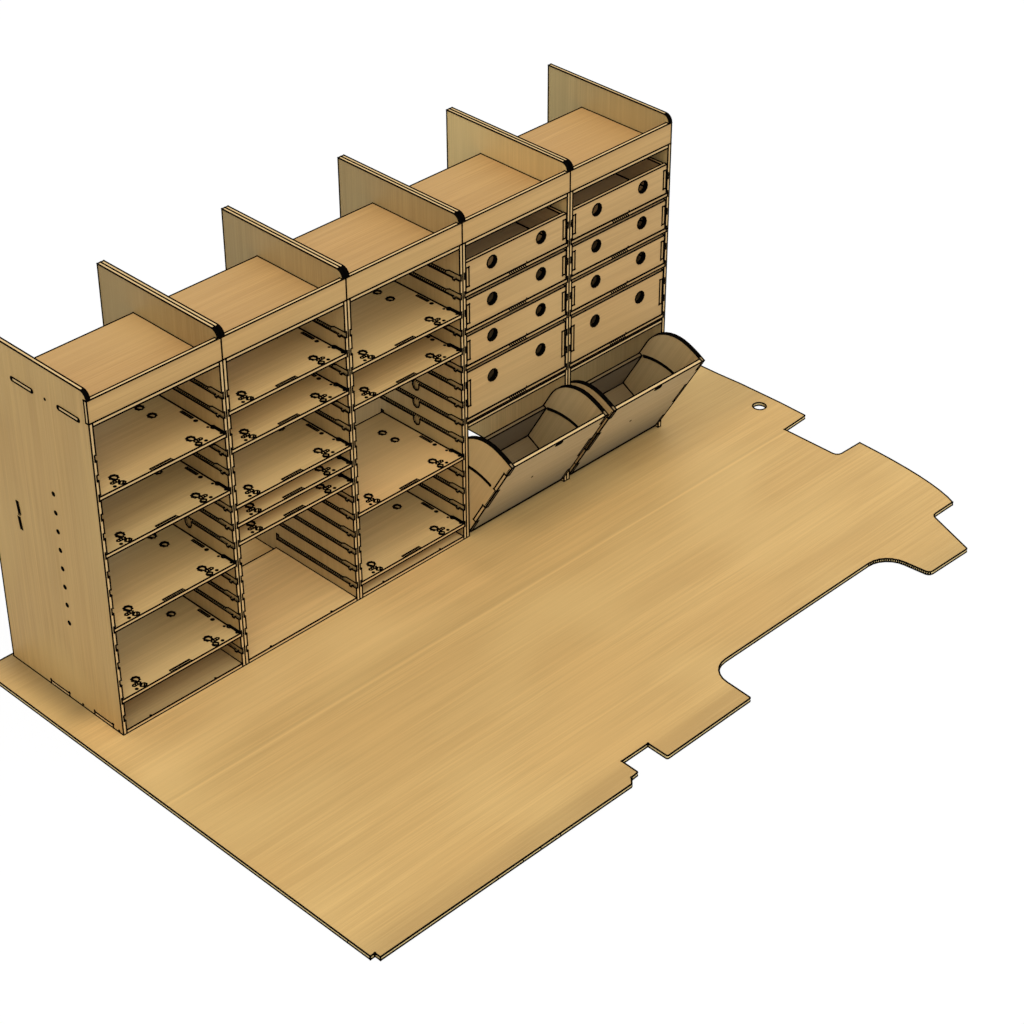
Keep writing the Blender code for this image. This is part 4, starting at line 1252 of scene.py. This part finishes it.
def add_sky():
    """White background for the camera and a soft sky, brighter overhead, for the rest."""
    world = bpy.data.worlds.new("soft_sky")
    world.use_nodes = True
    sky = NodeWriter(world.node_tree)
    source = sky.add("ShaderNodeTexCoord")
    parts = sky.add("ShaderNodeSeparateXYZ", {0: source.outputs["Generated"]})
    rise = sky.add("ShaderNodeMapRange", {
        "Value": parts.outputs[2], "To Min": HORIZON_LIGHT, "To Max": ZENITH_LIGHT,
    })
    soft = sky.tree.nodes["Background"]
    sky.feed(soft.inputs["Color"], WHITE)
    sky.feed(soft.inputs["Strength"], rise.outputs[0])
    white = sky.add("ShaderNodeBackground", {"Color": WHITE, "Strength": 1.0})
    blend = sky.add(
        "ShaderNodeMixShader", {0: seen_directly(sky), 1: soft.outputs[0], 2: white.outputs[0]}
    )
    sky.feed(sky.tree.nodes["World Output"].inputs["Surface"], blend.outputs[0])
    bpy.context.scene.world = world


# Lamps: name, strength, colour, width, tilt and turn in degrees, and whether it casts shadows
LAMPS = (
    ("soft_key", 1.05, (1.0, 1.0, 1.0), 50.0, 36.0, -22.0, True),
    ("soft_fill", 0.15, (0.86, 1.0, 1.22), 10.0, 55.0, -45.0, False),
)


def add_lamps():
    for name, strength, colour, width, tilt, turn, shadows in LAMPS:
        lamp = bpy.data.lights.new(name, "SUN")
        lamp.energy = strength
        lamp.color = colour
        lamp.angle = math.radians(width)
        lamp.use_shadow = shadows
        stand = add_object(name, lamp)
        stand.rotation_euler = (math.radians(tilt), 0.0, math.radians(turn))


# Where the picture was taken from: place in metres, angles in radians, lens and sensor in
# millimetres
CAMERA_SPOT = (-4.7029, -4.6539, 4.9235)
CAMERA_AZIMUTH = 0.78689
CAMERA_ELEVATION = 0.60837
CAMERA_ROLL = 0.00216
CAMERA_LENS = 91.51
SENSOR_WIDTH = 36.0


def add_camera():
    """Camera at the picture's place, turned as its calibration gives."""
    forward = Vector((
        math.sin(CAMERA_AZIMUTH) * math.cos(CAMERA_ELEVATION),
        math.cos(CAMERA_AZIMUTH) * math.cos(CAMERA_ELEVATION),
        -math.sin(CAMERA_ELEVATION),
    ))
    level = forward.cross(Vector((0.0, 0.0, 1.0))).normalized()
    down = forward.cross(level)
    right = math.cos(CAMERA_ROLL) * level + math.sin(CAMERA_ROLL) * down
    lower = -math.sin(CAMERA_ROLL) * level + math.cos(CAMERA_ROLL) * down
    data = bpy.data.cameras.new("view")
    data.sensor_width = SENSOR_WIDTH
    data.sensor_fit = "HORIZONTAL"
    data.lens = CAMERA_LENS
    data.clip_end = 200.0
    camera = add_object("view", data)
    turn = Matrix((right, -lower, -forward)).transposed()
    camera.matrix_world = Matrix.Translation(CAMERA_SPOT) @ turn.to_4x4()
    bpy.context.scene.camera = camera


# Add-on
STEPS = (
    "grain", "charred_edges", "scorched_faces", "tray_marks", "panel_marks", "drawer_marks", "stage",
)


class RACKING_PT_panel(bpy.types.Panel):
    bl_idname = "RACKING_PT_panel"
    bl_label = "Van racking"
    bl_space_type = "VIEW_3D"
    bl_region_type = "UI"
    bl_category = "Racking"

    def draw(self, context):
        layout = self.layout
        for group in (context.scene.racking_sizes, context.scene.racking_colours):
            box = layout.box()
            for key in group.__annotations__:
                box.prop(group, key)
        for step in STEPS:
            layout.operator("racking." + step)


CLASSES = (
    RackingSizes,
    RackingColours,
    RACKING_OT_grain,
    RACKING_OT_charred_edges,
    RACKING_OT_scorched_faces,
    RACKING_OT_tray_marks,
    RACKING_OT_panel_marks,
    RACKING_OT_drawer_marks,
    RACKING_OT_stage,
    RACKING_PT_panel,
)


def register():
    for kind in CLASSES:
        bpy.utils.register_class(kind)
    bpy.types.Scene.racking_sizes = PointerProperty(type=RackingSizes)
    bpy.types.Scene.racking_colours = PointerProperty(type=RackingColours)


def unregister():
    del bpy.types.Scene.racking_colours
    del bpy.types.Scene.racking_sizes
    for kind in reversed(CLASSES):
        bpy.utils.unregister_class(kind)


def main():
    register()
    for step in STEPS:
        getattr(bpy.ops.racking, step)()


if __name__ == "__main__":
    main()
